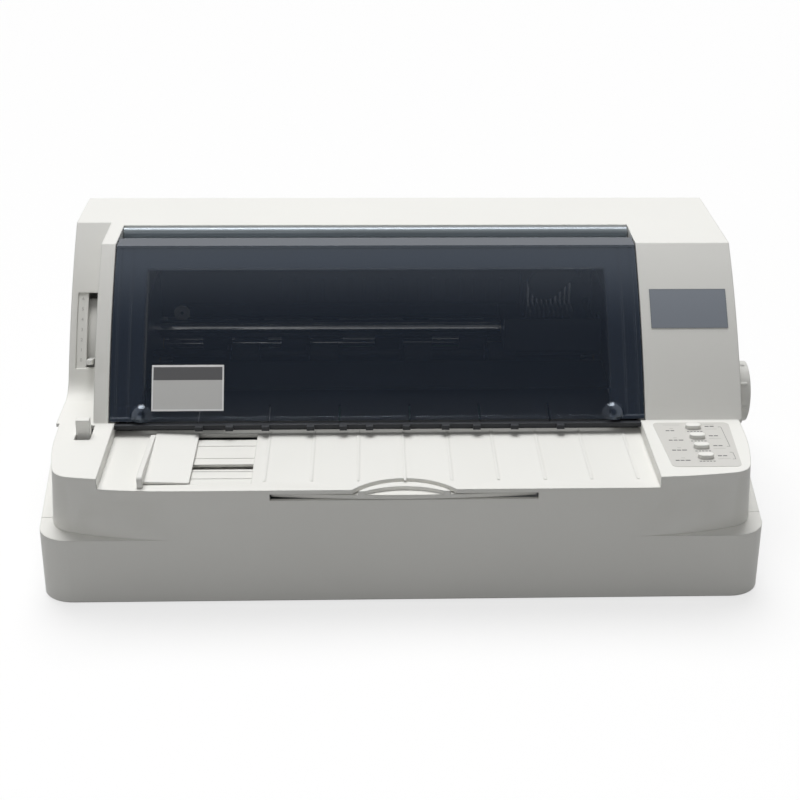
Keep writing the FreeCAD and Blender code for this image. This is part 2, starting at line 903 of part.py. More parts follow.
def left_recess(front, high):
    """The space in front of the set-back left tower, with its foot blended into the deck."""
    span = (-d.upper_width / 2 - d.overrun, -d.left_strip)
    foot = FACE_Y + d.recess_shift - other_side(FACE_RADIUS, d.deck_top - FACE_Z)
    blend_low = foot - d.recess_blend
    blend_z = d.deck_top + d.recess_blend
    blend_y = FACE_Y + d.recess_shift - other_side(FACE_RADIUS, blend_z - FACE_Z)
    top_y = FACE_Y + d.recess_shift - other_side(FACE_RADIUS, d.hood_top - FACE_Z)
    corners = [
        (front, d.deck_top),
        (blend_low, d.deck_top, d.recess_blend * 2),
        (blend_y, blend_z, -FACE_RADIUS),
        (top_y, d.hood_top),
        (top_y, high),
        (front, high),
    ]
    return prism("left_recess", "YZ", corners, span)


def deck_hollows(wide):
    """The spaces under the two decks, beside the table, within the skirt's wall."""
    high = d.deck_top - d.wall
    y, z = (FRONT, -d.face_foot + d.wall), (d.base_top, high)
    left = block("deck_box_left", (wide[0], -d.table_left - d.wall), y, z)
    right = block("deck_box_right", (d.table_right + d.wall, wide[1]), y, z)
    space = skirt("deck_space", d.wall, d.base_top, high)
    return common("deck_hollows", space, group("deck_boxes", [left, right]))


def tower_hollows(inner):
    """The inside of the towers, the cover's seat and the hood."""
    low, top = d.base_top, d.hood_top - d.wall
    rear = REAR - d.wall
    foot = -d.face_foot
    flare = UPPER_FLARE
    side = d.knee_width / 2 - d.wall
    seat_top = SEAT_TOP - d.seat_thickness
    seat_back = CHANNEL[0] - d.wall
    left = -d.left_strip + d.wall
    right = d.cover_right + d.cover_side_gap + d.wall
    inside = FACE_RADIUS - d.wall
    under_seat = SEAT_RADIUS - d.seat_thickness
    left_foot = foot + d.recess_shift
    back_cut = prism(
        "hood_slope_inside",
        "YZ",
        [(HOOD_BACK - d.wall, top), (rear, d.hood_top - d.hood_slope_drop - d.wall)]
        + [(rear + d.overrun, top), (HOOD_BACK - d.wall, top + d.overrun)],
        (inner[0] - d.overrun, inner[1] + d.overrun),
    )
    hood = cut("hood_hollow", block("hood_space", inner, (HOOD_FRONT, rear), (low, top)), back_cut)
    return [
        face_solid("seat_hollow", under_seat, (left, side), (foot, seat_back), (low, seat_top)),
        block("channel_hollow", (left, side), (seat_back, HOOD_FRONT), (low, CHANNEL_FLOOR - d.wall)),
        block("hood_front_hollow", (left, side), (CHANNEL[1] + d.wall, HOOD_FRONT), (low, top)),
        face_solid("right_hollow", inside, (right, side), (foot, flare), (low, top)),
        face_solid("right_rear_hollow", inside, (right, inner[1]), (flare, HOOD_FRONT), (low, top)),
        face_solid("left_hollow", inside, (-side, left), (left_foot, flare), (low, top), LEFT_FACE_AXIS),
        face_solid(
            "left_rear_hollow", inside, (inner[0], left), (flare, HOOD_FRONT), (low, top), LEFT_FACE_AXIS
        ),
        block("left_under_hollow", (-side, left), (foot, flare), (low, d.deck_top - d.wall)),
        hood,
    ]


def table_cuts():
    """The grip cut-out, the tray slot, and the edge guide's track with its slots and grooves."""
    radius = cutout_radius()
    span = (-d.guide_plate_left - d.slide_gap, -d.track_right)
    slot_z = (TABLE_UNDER - d.wall, TABLE)
    slots = [
        block(f"track_slot_{n}", span, (y - d.track_slot / 2, y + d.track_slot / 2), slot_z)
        for n, y in enumerate(track_places())
    ]
    grooves = [
        block(f"track_groove_{n}", span, (y, y + d.track_groove), (TABLE - d.track_depth * 2, TABLE))
        for n, y in enumerate(spread(guide_plate_y(), TRACK_GROOVE_SHARES))
    ]
    tray_heights = (d.tray_low - d.slide_gap, TABLE_UNDER)
    tray_span = (-d.tray_slot_half, d.tray_slot_half)
    return [
        rod("grip_cutout", "z", radius, (0, cutout_centre()), (TABLE_UNDER - d.wall, TABLE + d.wall)),
        block("tray_slot", tray_span, (FRONT - d.overrun, FRONT + d.overrun), tray_heights),
        block("guide_track", span, guide_plate_y(), (TABLE - d.track_depth, TABLE)),
        *slots,
        *grooves,
    ]


def cutout_radius():
    half = d.cutout_width / 2
    return (half * half + d.cutout_depth * d.cutout_depth) / (d.cutout_depth * 2)


def cutout_centre():
    return FRONT + d.cutout_depth - cutout_radius()


def guide_plate_y():
    return (FRONT + d.guide_plate_setback, -d.guide_plate_back)


def track_places():
    """Y of the two slots that the edge guide's legs run in."""
    return spread(guide_plate_y(), TRACK_SLOT_SHARES)


def deck_cuts():
    """The lever slot in the left deck, the button holes, and the lever window in the left tower."""
    lever = feed_lever_span(d.feed_slot_gap)
    window = (-d.window_left, -d.window_right)
    slot = (window[1] - d.window_slot, window[1])
    heights = (d.window_low, d.window_high)
    deck = (d.deck_top - d.wall * 2, d.deck_top + d.wall)
    y = (-d.face_foot, d.tube_y * 2)
    floor = FACE_RADIUS - d.window_depth
    holes = [
        button_prism(f"button_hole_{n}", n, d.button_gap, deck) for n in range(BUTTON_COUNT)
    ]
    return [
        block("feed_slot", lever, (-d.feed_slot_front, -d.feed_slot_back), deck),
        above_face("lever_window", floor, window, y, heights, LEFT_FACE_AXIS),
        block("lever_window_slot", slot, y, heights),
        *holes,
    ]


def feed_lever_span(gap):
    half = d.feed_lever_width / 2 + gap
    return (-d.feed_lever_x - half, -d.feed_lever_x + half)


def feed_lever_ears():
    """Two ears below the left deck, and the pin between them that carries the feed lever."""
    low, high = feed_lever_span(d.ear_gap)
    y = (-d.feed_lever_y - d.feed_hub_radius, -d.feed_lever_y + d.feed_hub_radius)
    z = (d.feed_lever_pivot - d.feed_hub_radius, d.deck_top - d.wall)
    pivot = (-d.feed_lever_y, d.feed_lever_pivot)
    return [
        block("feed_ear_outer", (low - d.ear, low), y, z),
        block("feed_ear_inner", (high, high + d.ear), y, z),
        rod("feed_pin", "x", d.feed_pin_radius, pivot, (low - d.ear, high + d.ear)),
    ]


def table_ribs():
    """Low ribs that carry the sheet from front to back over the table."""
    span = (-d.table_left, d.table_right)
    shares = even_shares(TABLE_RIB_SPAN_SHARES, TABLE_RIB_COUNT)
    back = -d.table_back - d.wall
    return [
        block(
            f"table_rib_{n}",
            (x - d.rib_width / 2, x + d.rib_width / 2),
            (FRONT + d.rib_setback, back),
            (TABLE - d.rib_height, TABLE + d.rib_height),
        )
        for n, x in enumerate(spread(span, shares))
    ]


def tray_runners():
    """Two angled runners under the table that carry the extension tray."""
    made = []
    low = d.tray_low - d.slide_gap
    y = (FRONT + d.runner_setback, -d.tray_back)
    side = d.tray_half + d.slide_gap
    for name, way in (("left", -1), ("right", 1)):
        edges = sorted((side * way, (side + d.runner_width) * way), key=lambda edge: edge.value)
        made.append(block(f"runner_{name}", edges, y, (low - d.runner_width, TABLE_UNDER)))
        lips = sorted(((side - d.runner_lip) * way, side * way), key=lambda edge: edge.value)
        made.append(block(f"runner_lip_{name}", lips, y, (low - d.runner_width, low)))
    return made


def panel_posts():
    """Posts under the right deck that carry the panel board."""
    board_top = d.deck_top - d.panel_board_drop + d.board_thickness
    x = (d.panel_board_left + d.post_radius, d.panel_board_right - d.post_radius)
    y = (panel_board_y()[0] + d.post_radius, panel_board_y()[1] - d.post_radius)
    return [
        rod(f"panel_post_{n}", "z", d.post_radius, place, (board_top, d.deck_top - d.wall))
        for n, place in enumerate([(a, b) for a in x for b in y])
    ]


def feet():
    x = d.base_front_width / 2 - d.foot_inset_x
    y = (FRONT + d.foot_inset_y, REAR - d.foot_inset_y)
    places = [(a, b) for a in (-x, x) for b in y]
    rods = [
        rod(f"foot_{n}", "z", d.foot_radius, place, (0, d.foot_height))
        for n, place in enumerate(places)
    ]
    keep(group("feet", rods), "rubber_feet")


def cover():
    """The smoked cover: curved sheet, flat shoulder, hinge tube, lip, beads and grips."""
    x = (-d.cover_left, d.cover_right)
    inner = COVER_RADIUS - d.cover_thickness
    y = (-d.face_foot - d.wall, d.tube_y)
    z = (d.cover_foot, d.cover_shoulder)
    shoulder_low = d.cover_shoulder - d.cover_thickness
    shoulder = FACE_Y - other_side(COVER_RADIUS, shoulder_low - FACE_Z)
    lip_z = (d.cover_foot, d.cover_foot + d.cover_lip_height)
    sheet = face_sheet("cover_sheet", COVER_RADIUS, inner, x, y, z)
    step = d.valley_front - d.cover_thickness
    top = block("cover_top", x, (shoulder, d.valley_front), (shoulder_low, d.cover_shoulder))
    drop = block("cover_drop_wall", x, (step, d.valley_front), (WEB_LOW, d.cover_shoulder))
    web = block("cover_web", x, (step, d.tube_y), (WEB_LOW, WEB_LOW + d.cover_thickness))
    lip = face_sheet("cover_lip_rim", COVER_RADIUS + d.cover_lip, inner, x, y, lip_z)
    barrel = rod("cover_barrel", "x", d.tube_radius, tube_axis(), x)
    beads = []
    for n, inset in enumerate((d.bead_inset_near, d.bead_inset_far)):
        for side, edge in (("left", x[0] + inset), ("right", x[1] - inset - d.bead_width)):
            span = (edge, edge + d.bead_width)
            name = f"bead_{side}_{n}"
            outer = COVER_RADIUS + d.bead_height
            beads.append(face_sheet(name, outer, inner, span, y, (lip_z[0], shoulder_low)))
    grips = [cover_grip(side, place) for side, place in grip_places()]
    solid = fuse("cover_solid", sheet, top, drop, web, lip, barrel, *beads, *grips)
    bore_radius = d.hinge_pin_radius + d.running_gap
    bores = [
        rod(f"tube_bore_{n}", "x", bore_radius, tube_axis(), (span[0] - d.seam, span[1] + d.seam))
        for n, span in pin_spans()
    ]
    keep(cut("cover_shape", solid, *bores), "top_cover")
    pins = [rod(f"hinge_pin_{n}", "x", d.hinge_pin_radius, tube_axis(), span) for n, span in pin_spans()]
    keep(group("pins", pins), "hinge_pins")
    label = face_sheet(
        "label_sheet",
        COVER_RADIUS + d.film_gap + d.film,
        COVER_RADIUS + d.film_gap,
        (-d.label_left, -d.label_right),
        y,
        (d.label_low, d.label_high),
    )
    keep(label, "cover_label")


def grip_places():
    return [("left", -d.cover_left + d.grip_inset), ("right", d.cover_right - d.grip_inset)]


def cover_grip(side, place):
    """A half-moon finger grip: a shallow dome that stands out of the cover at its foot."""
    foot_y = FACE_Y - other_side(COVER_RADIUS, d.cover_foot - FACE_Z)
    ball = DOC.addObject("Part::Sphere", f"grip_ball_{side}")
    bind(ball, "Radius", d.grip_radius)
    bind(ball, "Placement.Base.x", place)
    bind(ball, "Placement.Base.y", foot_y + d.grip_radius - d.grip_proud)
    bind(ball, "Placement.Base.z", d.cover_foot)
    span = (place - d.grip_radius * 2, place + d.grip_radius * 2)
    inner = COVER_RADIUS - d.cover_thickness
    outside = above_face(
        f"grip_{side}_outside",
        inner,
        span,
        (foot_y - d.grip_radius, foot_y + d.grip_radius * 2),
        (d.cover_foot, d.cover_foot + d.grip_radius),
    )
    return common(f"grip_{side}", ball, outside)


def name_plate():
    """A bare plate on the right tower."""
    plate = face_sheet(
        "plate_sheet",
        FACE_RADIUS + d.film_gap + d.film,
        FACE_RADIUS + d.film_gap,
        (d.plate_left, d.plate_right),
        (-d.face_foot, d.face_top),
        (d.plate_low, d.plate_high),
    )
    keep(plate, "name_plate")


def chassis():
    """The steel chassis plate and the two side frames that carry every shaft."""
    x = (FRAME_OUT_LEFT - d.frame_foot, FRAME_OUT_RIGHT + d.frame_foot)
    y = (-d.frame_front, d.frame_back)
    keep(block("chassis", x, y, (CHASSIS, CHASSIS_TOP)), "chassis_plate")
    outline = [
        (-d.frame_front, CHASSIS_TOP),
        (d.frame_back, CHASSIS_TOP),
        (d.frame_back, d.frame_top),
        (d.guide_y - d.bush_radius * 2, d.frame_top),
        (-d.frame_front, d.frame_nose),
    ]
    foot_z = (CHASSIS_TOP, CHASSIS_TOP + d.frame_thickness)
    gap_pin = rod("gap_pin", "x", d.gap_pin_radius, GAP_PIVOT, (gap_lever_span()[0], FRAME_OUT_LEFT))
    sides = {
        "left": ((FRAME_OUT_LEFT, FRAME_IN_LEFT), (x[0], FRAME_IN_LEFT), [gap_pin]),
        "right": ((FRAME_IN_RIGHT, FRAME_OUT_RIGHT), (FRAME_IN_RIGHT, x[1]), []),
    }
    for side, (span, foot_x, extras) in sides.items():
        plate = prism(f"frame_{side}", "YZ", outline, span)
        foot = block(f"frame_foot_{side}", foot_x, y, foot_z)
        solid = fuse(f"frame_solid_{side}", plate, foot, *extras)
        holes = [
            rod(f"{name}_hole_{side}", "x", radius, place, (span[0] - d.wall, span[1] + d.wall))
            for name, radius, place in frame_holes(side)
        ]
        keep(cut(f"frame_cut_{side}", solid, *holes), f"side_frame_{side}")


def frame_holes(side):
    """Every hole in a side frame: (name, radius, place)."""
    pinch = d.pinch_shaft_radius + d.running_gap
    holes = [(name, d.bush_radius, place) for name, place in bush_places()]
    holes += [("guide", d.guide_radius, GUIDE)]
    holes += [("pinch", pinch, PINCH), ("rear_pinch", pinch, REAR_PINCH)]
    if side == "right":
        holes += [("knob", BUSH_BORE, KNOB), ("idler", BUSH_BORE, IDLER)]
        holes += [("feed_rotor", d.rotor_radius * 2, FEED_MOTOR)]
    return holes


def bush_places():
    return [("front_roller", ROLLER), ("platen", PLATEN), ("rear_roller", REAR_ROLLER)]


def bushes():
    """Flanged bushes in both side frames for the platen and the feed rollers."""
    made = []
    ends = {
        "left": ((FRAME_OUT_LEFT, FRAME_IN_LEFT), (FRAME_OUT_LEFT - d.bush_flange, FRAME_OUT_LEFT)),
        "right": (
            (FRAME_IN_RIGHT, FRAME_OUT_RIGHT),
            (FRAME_OUT_RIGHT, FRAME_OUT_RIGHT + d.bush_flange),
        ),
    }
    for side, (seat, flange) in ends.items():
        for name, place in bush_places():
            label = f"bush_{name}_{side}"
            barrel = rod(f"{label}_barrel", "x", d.bush_radius, place, seat)
            collar = rod(f"{label}_collar", "x", d.bush_flange_radius, place, flange)
            whole = (FRAME_OUT_LEFT - d.overrun, FRAME_OUT_RIGHT + d.overrun)
            bore = rod(f"{label}_bore", "x", BUSH_BORE, place, whole)
            made.append(cut(label, fuse(f"{label}_solid", barrel, collar), bore))
    keep(group("bushes", made), "shaft_bushes")


def roller_shaft_span():
    return (FRAME_OUT_LEFT - d.bush_flange - d.wall, GEAR_SPAN[1] + d.gear_hub)


def rollers():
    """The platen, the feed rollers on their shafts, and the pinch rollers above the paper."""
    shaft_span = roller_shaft_span()
    core = rod("platen_core", "x", d.shaft_radius, PLATEN, shaft_span)
    keep(core, "platen_shaft")
    rubber_span = (FRAME_IN_LEFT + d.platen_end_gap, FRAME_IN_RIGHT - d.platen_end_gap)
    rubber = tube("platen_tube", "x", d.platen_radius, d.shaft_radius, PLATEN, rubber_span)
    keep(rubber, "platen_rubber")
    places = spread(BETWEEN_FRAMES, ROLLER_PLACE_SHARES)
    for label, centre in (("front_feed_roller", ROLLER), ("rear_feed_roller", REAR_ROLLER)):
        half = d.roller_width / 2
        drums = [
            rod(f"{label}_drum_{n}", "x", d.roller_radius, centre, (x - half, x + half))
            for n, x in enumerate(places)
        ]
        shaft = rod(f"{label}_shaft", "x", d.shaft_radius, centre, shaft_span)
        keep(fuse(f"{label}_shape", shaft, *drums), label)
    pinches = (
        ("front_pinch_roller", PINCH, d.pinch_radius),
        ("rear_pinch_roller", REAR_PINCH, d.rear_pinch_radius),
    )
    for label, centre, radius in pinches:
        half = d.pinch_width / 2
        drums = [
            rod(f"{label}_drum_{n}", "x", radius, centre, (x - half, x + half))
            for n, x in enumerate(places)
        ]
        span = (FRAME_OUT_LEFT - d.wall, FRAME_OUT_RIGHT + d.wall)
        shaft = rod(f"{label}_shaft", "x", d.pinch_shaft_radius, centre, span)
        keep(fuse(f"{label}_shape", shaft, *drums), label)


def pinch_carrier():
    """The black bar behind the front pinch rollers, with a holder and an arm at each one."""
    bar = block(
        "carrier_bar", BETWEEN_FRAMES, (d.carrier_front, d.carrier_back), (d.carrier_low, d.carrier_high)
    )
    parts, bores = [bar], []
    for n, x in enumerate(spread(BETWEEN_FRAMES, ROLLER_PLACE_SHARES)):
        edge = x - d.pinch_width / 2 - d.holder_arm * HOLDER_SIDE_GAP_SHARE
        top = (d.carrier_low, d.holder_top)
        head_y = (d.carrier_front - d.holder_arm, d.carrier_back)
        parts.append(block(f"holder_{n}", (edge - d.holder_width, edge), head_y, top))
        arm_y = (d.roller_y - d.pinch_shaft_radius * 2, d.carrier_front)
        arm_z = (PINCH[1] - d.pinch_shaft_radius * 2, PINCH[1] + d.pinch_shaft_radius * 2)
        parts.append(block(f"holder_arm_{n}", (edge - d.holder_arm, edge), arm_y, arm_z))
        span = (edge - d.holder_width - d.wall, edge + d.wall)
        bores.append(
            rod(f"holder_bore_{n}", "x", d.pinch_shaft_radius + d.running_gap, PINCH, span)
        )
    keep(cut("carrier_shape", fuse("carrier_solid", *parts), *bores), "pinch_carrier")


def gear(name, teeth, centre, bore, phase, span, hub_radius):
    """A spur gear with straight flanks: a root disc, one tooth and a polar pattern of it."""
    module = d.gear_module
    pitch = module * (teeth / 2)
    root = pitch - module * DEDENDUM_SHARE
    tip = pitch + module * ADDENDUM_SHARE
    slant = FLANK_SHARE
    tip_half = module * (TOOTH_SHARE - ADDENDUM_SHARE * slant)
    root_half = module * (TOOTH_SHARE + DEDENDUM_SHARE * slant)
    body = DOC.addObject("PartDesign::Body", name)
    disc_sketch = sketch_on(body, f"{name}_disc_sketch", "YZ", 0)
    for radius in (root, size(bore)):
        index = disc_sketch.addGeometry(Part.Circle(Vector(0, 0, 0), Vector(0, 0, 1), radius.value))
        disc_sketch.addConstraint(Sketcher.Constraint("Coincident", index, 3, -1, 1))
        rule = Sketcher.Constraint("Radius", index, radius.value)
        bind(disc_sketch, f"Constraints[{disc_sketch.addConstraint(rule)}]", radius)
    disc = body.newObject("PartDesign::Pad", f"{name}_disc")
    disc.Profile = disc_sketch
    bind(disc, "Length", span[1] - span[0])
    tooth_sketch = sketch_on(body, f"{name}_tooth_sketch", "YZ", 0)
    base = root - module * TOOTH_SHARE
    draw_outline(
        tooth_sketch,
        [(base, -root_half), (root, -root_half), (tip, -tip_half), (tip, tip_half)]
        + [(root, root_half), (base, root_half)],
    )
    tooth = body.newObject("PartDesign::Pad", f"{name}_tooth")
    tooth.Profile = tooth_sketch
    bind(tooth, "Length", span[1] - span[0])
    pattern = body.newObject("PartDesign::PolarPattern", f"{name}_teeth")
    pattern.Originals = [tooth]
    pattern.Axis = (body_plane(body, "X_Axis"), [""])
    pattern.Angle = 360
    pattern.Occurrences = teeth
    body.Tip = pattern
    body.Placement.Rotation = Rotation(Vector(1, 0, 0), phase)
    bind(body, "Placement.Base.x", span[0])
    bind(body, "Placement.Base.y", centre[0])
    bind(body, "Placement.Base.z", centre[1])
    if hub_radius is None:
        return body
    hub = tube(f"{name}_hub", "x", hub_radius, bore, centre, (span[1], span[1] + d.gear_hub))
    return fuse(f"{name}_with_hub", body, hub)


def mesh_phase(teeth, phase, own_teeth, here, there):
    """The turn of a gear at one place that meshes with a gear of a known turn at another."""
    way = math.degrees(math.atan2(there[1].value - here[1].value, there[0].value - here[0].value))
    past = (way - phase) / (360 / teeth)
    return way + 180 + (past + 0.5) * (360 / own_teeth)


def gears():
    """The gear train outside the right side frame: platen, rollers, idler, knob and motor."""
    bore = d.shaft_radius
    hub = d.bush_radius
    roller_phase = mesh_phase(PLATEN_TEETH, 0, ROLLER_TEETH, PLATEN, ROLLER)
    rear_phase = mesh_phase(PLATEN_TEETH, 0, ROLLER_TEETH, PLATEN, REAR_ROLLER)
    idler_phase = mesh_phase(ROLLER_TEETH, roller_phase, IDLER_TEETH, ROLLER, IDLER)
    knob_phase = mesh_phase(IDLER_TEETH, idler_phase, KNOB_TEETH, IDLER, KNOB)
    pinion_phase = mesh_phase(IDLER_TEETH, idler_phase, PINION_TEETH, IDLER, FEED_MOTOR)
    keep(gear("platen_wheel", PLATEN_TEETH, PLATEN, bore, 0, GEAR_SPAN, hub), "platen_gear")
    front = gear("roller_wheel", ROLLER_TEETH, ROLLER, bore, roller_phase, GEAR_SPAN, hub)
    keep(front, "front_roller_gear")
    rear = gear("rear_wheel", ROLLER_TEETH, REAR_ROLLER, bore, rear_phase, GEAR_SPAN, hub)
    keep(rear, "rear_roller_gear")
    keep(gear("knob_wheel", KNOB_TEETH, KNOB, bore, knob_phase, GEAR_SPAN, hub), "knob_gear")
    idler_wheel = gear("idler_wheel", IDLER_TEETH, IDLER, bore, idler_phase, GEAR_SPAN, None)
    pin = rod("idler_pin", "x", bore, IDLER, (FRAME_IN_RIGHT, GEAR_SPAN[1]))
    keep(fuse("idler_shape", idler_wheel, pin), "idler_gear")
    rotor = rod("feed_rotor", "x", d.rotor_radius, FEED_MOTOR, feed_motor_span(d.wall))
    pinion = gear("pinion", PINION_TEETH, FEED_MOTOR, d.rotor_radius, pinion_phase, GEAR_SPAN, None)
    keep(fuse("pinion_shape", pinion, rotor), "feed_motor_pinion")


def feed_motor_span(inset):
    """The rotor's span, from inside the motor to the outer face of the gears."""
    return (FRAME_IN_RIGHT - d.feed_motor_length + inset, GEAR_SPAN[1])


def feed_motor():
    """The square stepper motor on the inside of the right side frame."""
    half = d.feed_motor_size / 2
    y = (FEED_MOTOR[0] - half, FEED_MOTOR[0] + half)
    z = (FEED_MOTOR[1] - half, FEED_MOTOR[1] + half)
    x = (FRAME_IN_RIGHT - d.feed_motor_length, FRAME_IN_RIGHT)
    hollow = (x[0] + d.wall - d.seam, x[1] + d.wall)
    bore = rod("feed_motor_bore", "x", d.rotor_radius + d.running_gap, FEED_MOTOR, hollow)
    keep(cut("feed_motor_shape", block("feed_motor_block", x, y, z), bore), "feed_motor")


def knob():
    """The paper feed knob with its stub shaft, and grip ribs round its rim."""
    outer = d.knob_outer_x
    rim = (outer - d.knob_thickness, outer)
    disc = rod("knob_disc", "x", d.knob_radius, KNOB, rim)
    hub = rod("knob_hub", "x", d.knob_hub_radius, KNOB, (d.upper_width / 2 + d.seam, rim[0]))
    shaft = rod("knob_shaft", "x", d.shaft_radius, KNOB, (FRAME_IN_RIGHT, outer))
    reach = d.knob_radius + d.knob_rib_height - d.knob_rib
    ribs = []
    for n in range(KNOB_RIB_COUNT):
        angle = math.radians(360 * n / KNOB_RIB_COUNT + KNOB_RIB_PHASE)
        place = (KNOB[0] + reach * math.cos(angle), KNOB[1] + reach * math.sin(angle))
        ribs.append(rod(f"knob_rib_{n}", "x", d.knob_rib, place, (rim[0], outer - d.wall)))
    keep(fuse("knob_shape", disc, hub, shaft, *ribs), "paper_feed_knob")


def guide_shaft():
    span = (FRAME_OUT_LEFT - d.wall, FRAME_OUT_RIGHT + d.wall)
    keep(rod("guide", "x", d.guide_radius, GUIDE, span), "guide_shaft")


def rear_rail():
    """The bent steel rail that the carriage's rear shoe slides on."""
    top = block(
        "rail_top", BETWEEN_FRAMES, (d.rail_front, d.rail_back), (d.rail_top - d.sheet, d.rail_top)
    )
    flange = block(
        "rail_flange",
        BETWEEN_FRAMES,
        (d.rail_front, d.rail_front + d.sheet),
        (d.rail_top - d.rail_flange, d.rail_top),
    )
    keep(fuse("rail_shape", top, flange), "rear_rail")


def rear_guide():
    """The ribbed black wall behind the carriage, with the idler pulley's pin."""
    wall_y = (d.guide_wall_front, d.guide_wall_back)
    wall = block("guide_wall", BETWEEN_FRAMES, wall_y, (d.guide_wall_low, d.guide_wall_high))
    pin = rod(
        "idler_pulley_pin",
        "y",
        d.rotor_radius,
        (-d.idler_pulley_x, d.belt_z),
        (d.belt_front - d.pulley_flange, d.guide_wall_front),
    )
    ribs = []
    for n in range(GUIDE_RIB_COUNT):
        x = -d.guide_rib_first + d.guide_rib_pitch * n
        y = (d.guide_wall_front - d.guide_rib_depth, d.guide_wall_back)
        z = (d.guide_rib_low, d.guide_rib_high)
        ribs.append(block(f"guide_rib_{n}", (x, x + d.guide_rib_width), y, z))
    solid = fuse("guide_wall_solid", wall, pin, *ribs)
    hole = rod(
        "motor_boss_hole",
        "y",
        d.rotor_radius * 2,
        (d.motor_pulley_x, d.belt_z),
        (d.guide_wall_front - d.wall, d.guide_wall_back + d.wall),
    )
    keep(cut("guide_wall_shape", solid, hole), "rear_paper_guide")


def slit_plate():
    """The dark lower paper guide behind the table, with its row of slits."""
    front, back, step = -d.slit_plate_front, -d.slit_plate_back, -d.slit_plate_step
    thick = d.slit_plate_thickness
    low, high = TABLE - d.slit_plate_dip, PAPER - d.nip * 3
    step_share = (d.slit_plate_front - d.slit_plate_step) / (d.slit_plate_front - d.slit_plate_back)
    middle = low + (high - low) * step_share
    wide = (-d.table_left + d.seam, d.table_right - d.seam)
    parts = [
        prism(
            "slit_plate_wide",
            "YZ",
            [(front, low - thick), (step, middle - thick), (step, middle), (front, low)],
            wide,
        ),
        prism(
            "slit_plate_narrow",
            "YZ",
            [(step, middle - thick), (back, high - thick), (back, high), (step, middle)],
            BETWEEN_FRAMES,
        ),
    ]
    slits = []
    half = d.slit_width / 2
    y = (-d.slit_front, -d.slit_front + d.slit_length)
    for n, x in enumerate(spread(wide, even_shares(SLIT_SPAN_SHARES, SLIT_COUNT))):
        slits.append(block(f"slit_{n}", (x - half, x + half), y, (TABLE, PAPER)))
    solid = fuse("slit_plate_solid", *parts)
    keep(cut("slit_plate_shape", solid, *slits), "lower_paper_guide")


def upper_plate():
    """The glossy upper paper guide in front of the pinch rollers."""
    front, back = -d.upper_plate_front, d.upper_plate_back
    low, high, thick = d.upper_plate_low, d.upper_plate_high, d.upper_plate_thickness
    corners = [(front, low - thick), (back, high - thick), (back, high), (front, low)]
    keep(prism("upper_plate", "YZ", corners, BETWEEN_FRAMES), "upper_paper_guide")


def paper_bar():
    """The black bar above the back of the table, with tabs that hold the sheet down."""
    span = (-d.table_left, d.table_right)
    parts = [block("bar", span, (-d.bar_front, -d.bar_back), (d.bar_low, d.bar_high))]
    half = d.tab_width / 2
    y = (-d.bar_front - d.tab_reach, -d.bar_back)
    for n, x in enumerate(spread(span, TAB_PLACE_SHARES)):
        parts.append(block(f"tab_{n}", (x - half, x + half), y, (d.bar_low, d.bar_high)))
    keep(fuse("bar_shape", *parts), "paper_bar")


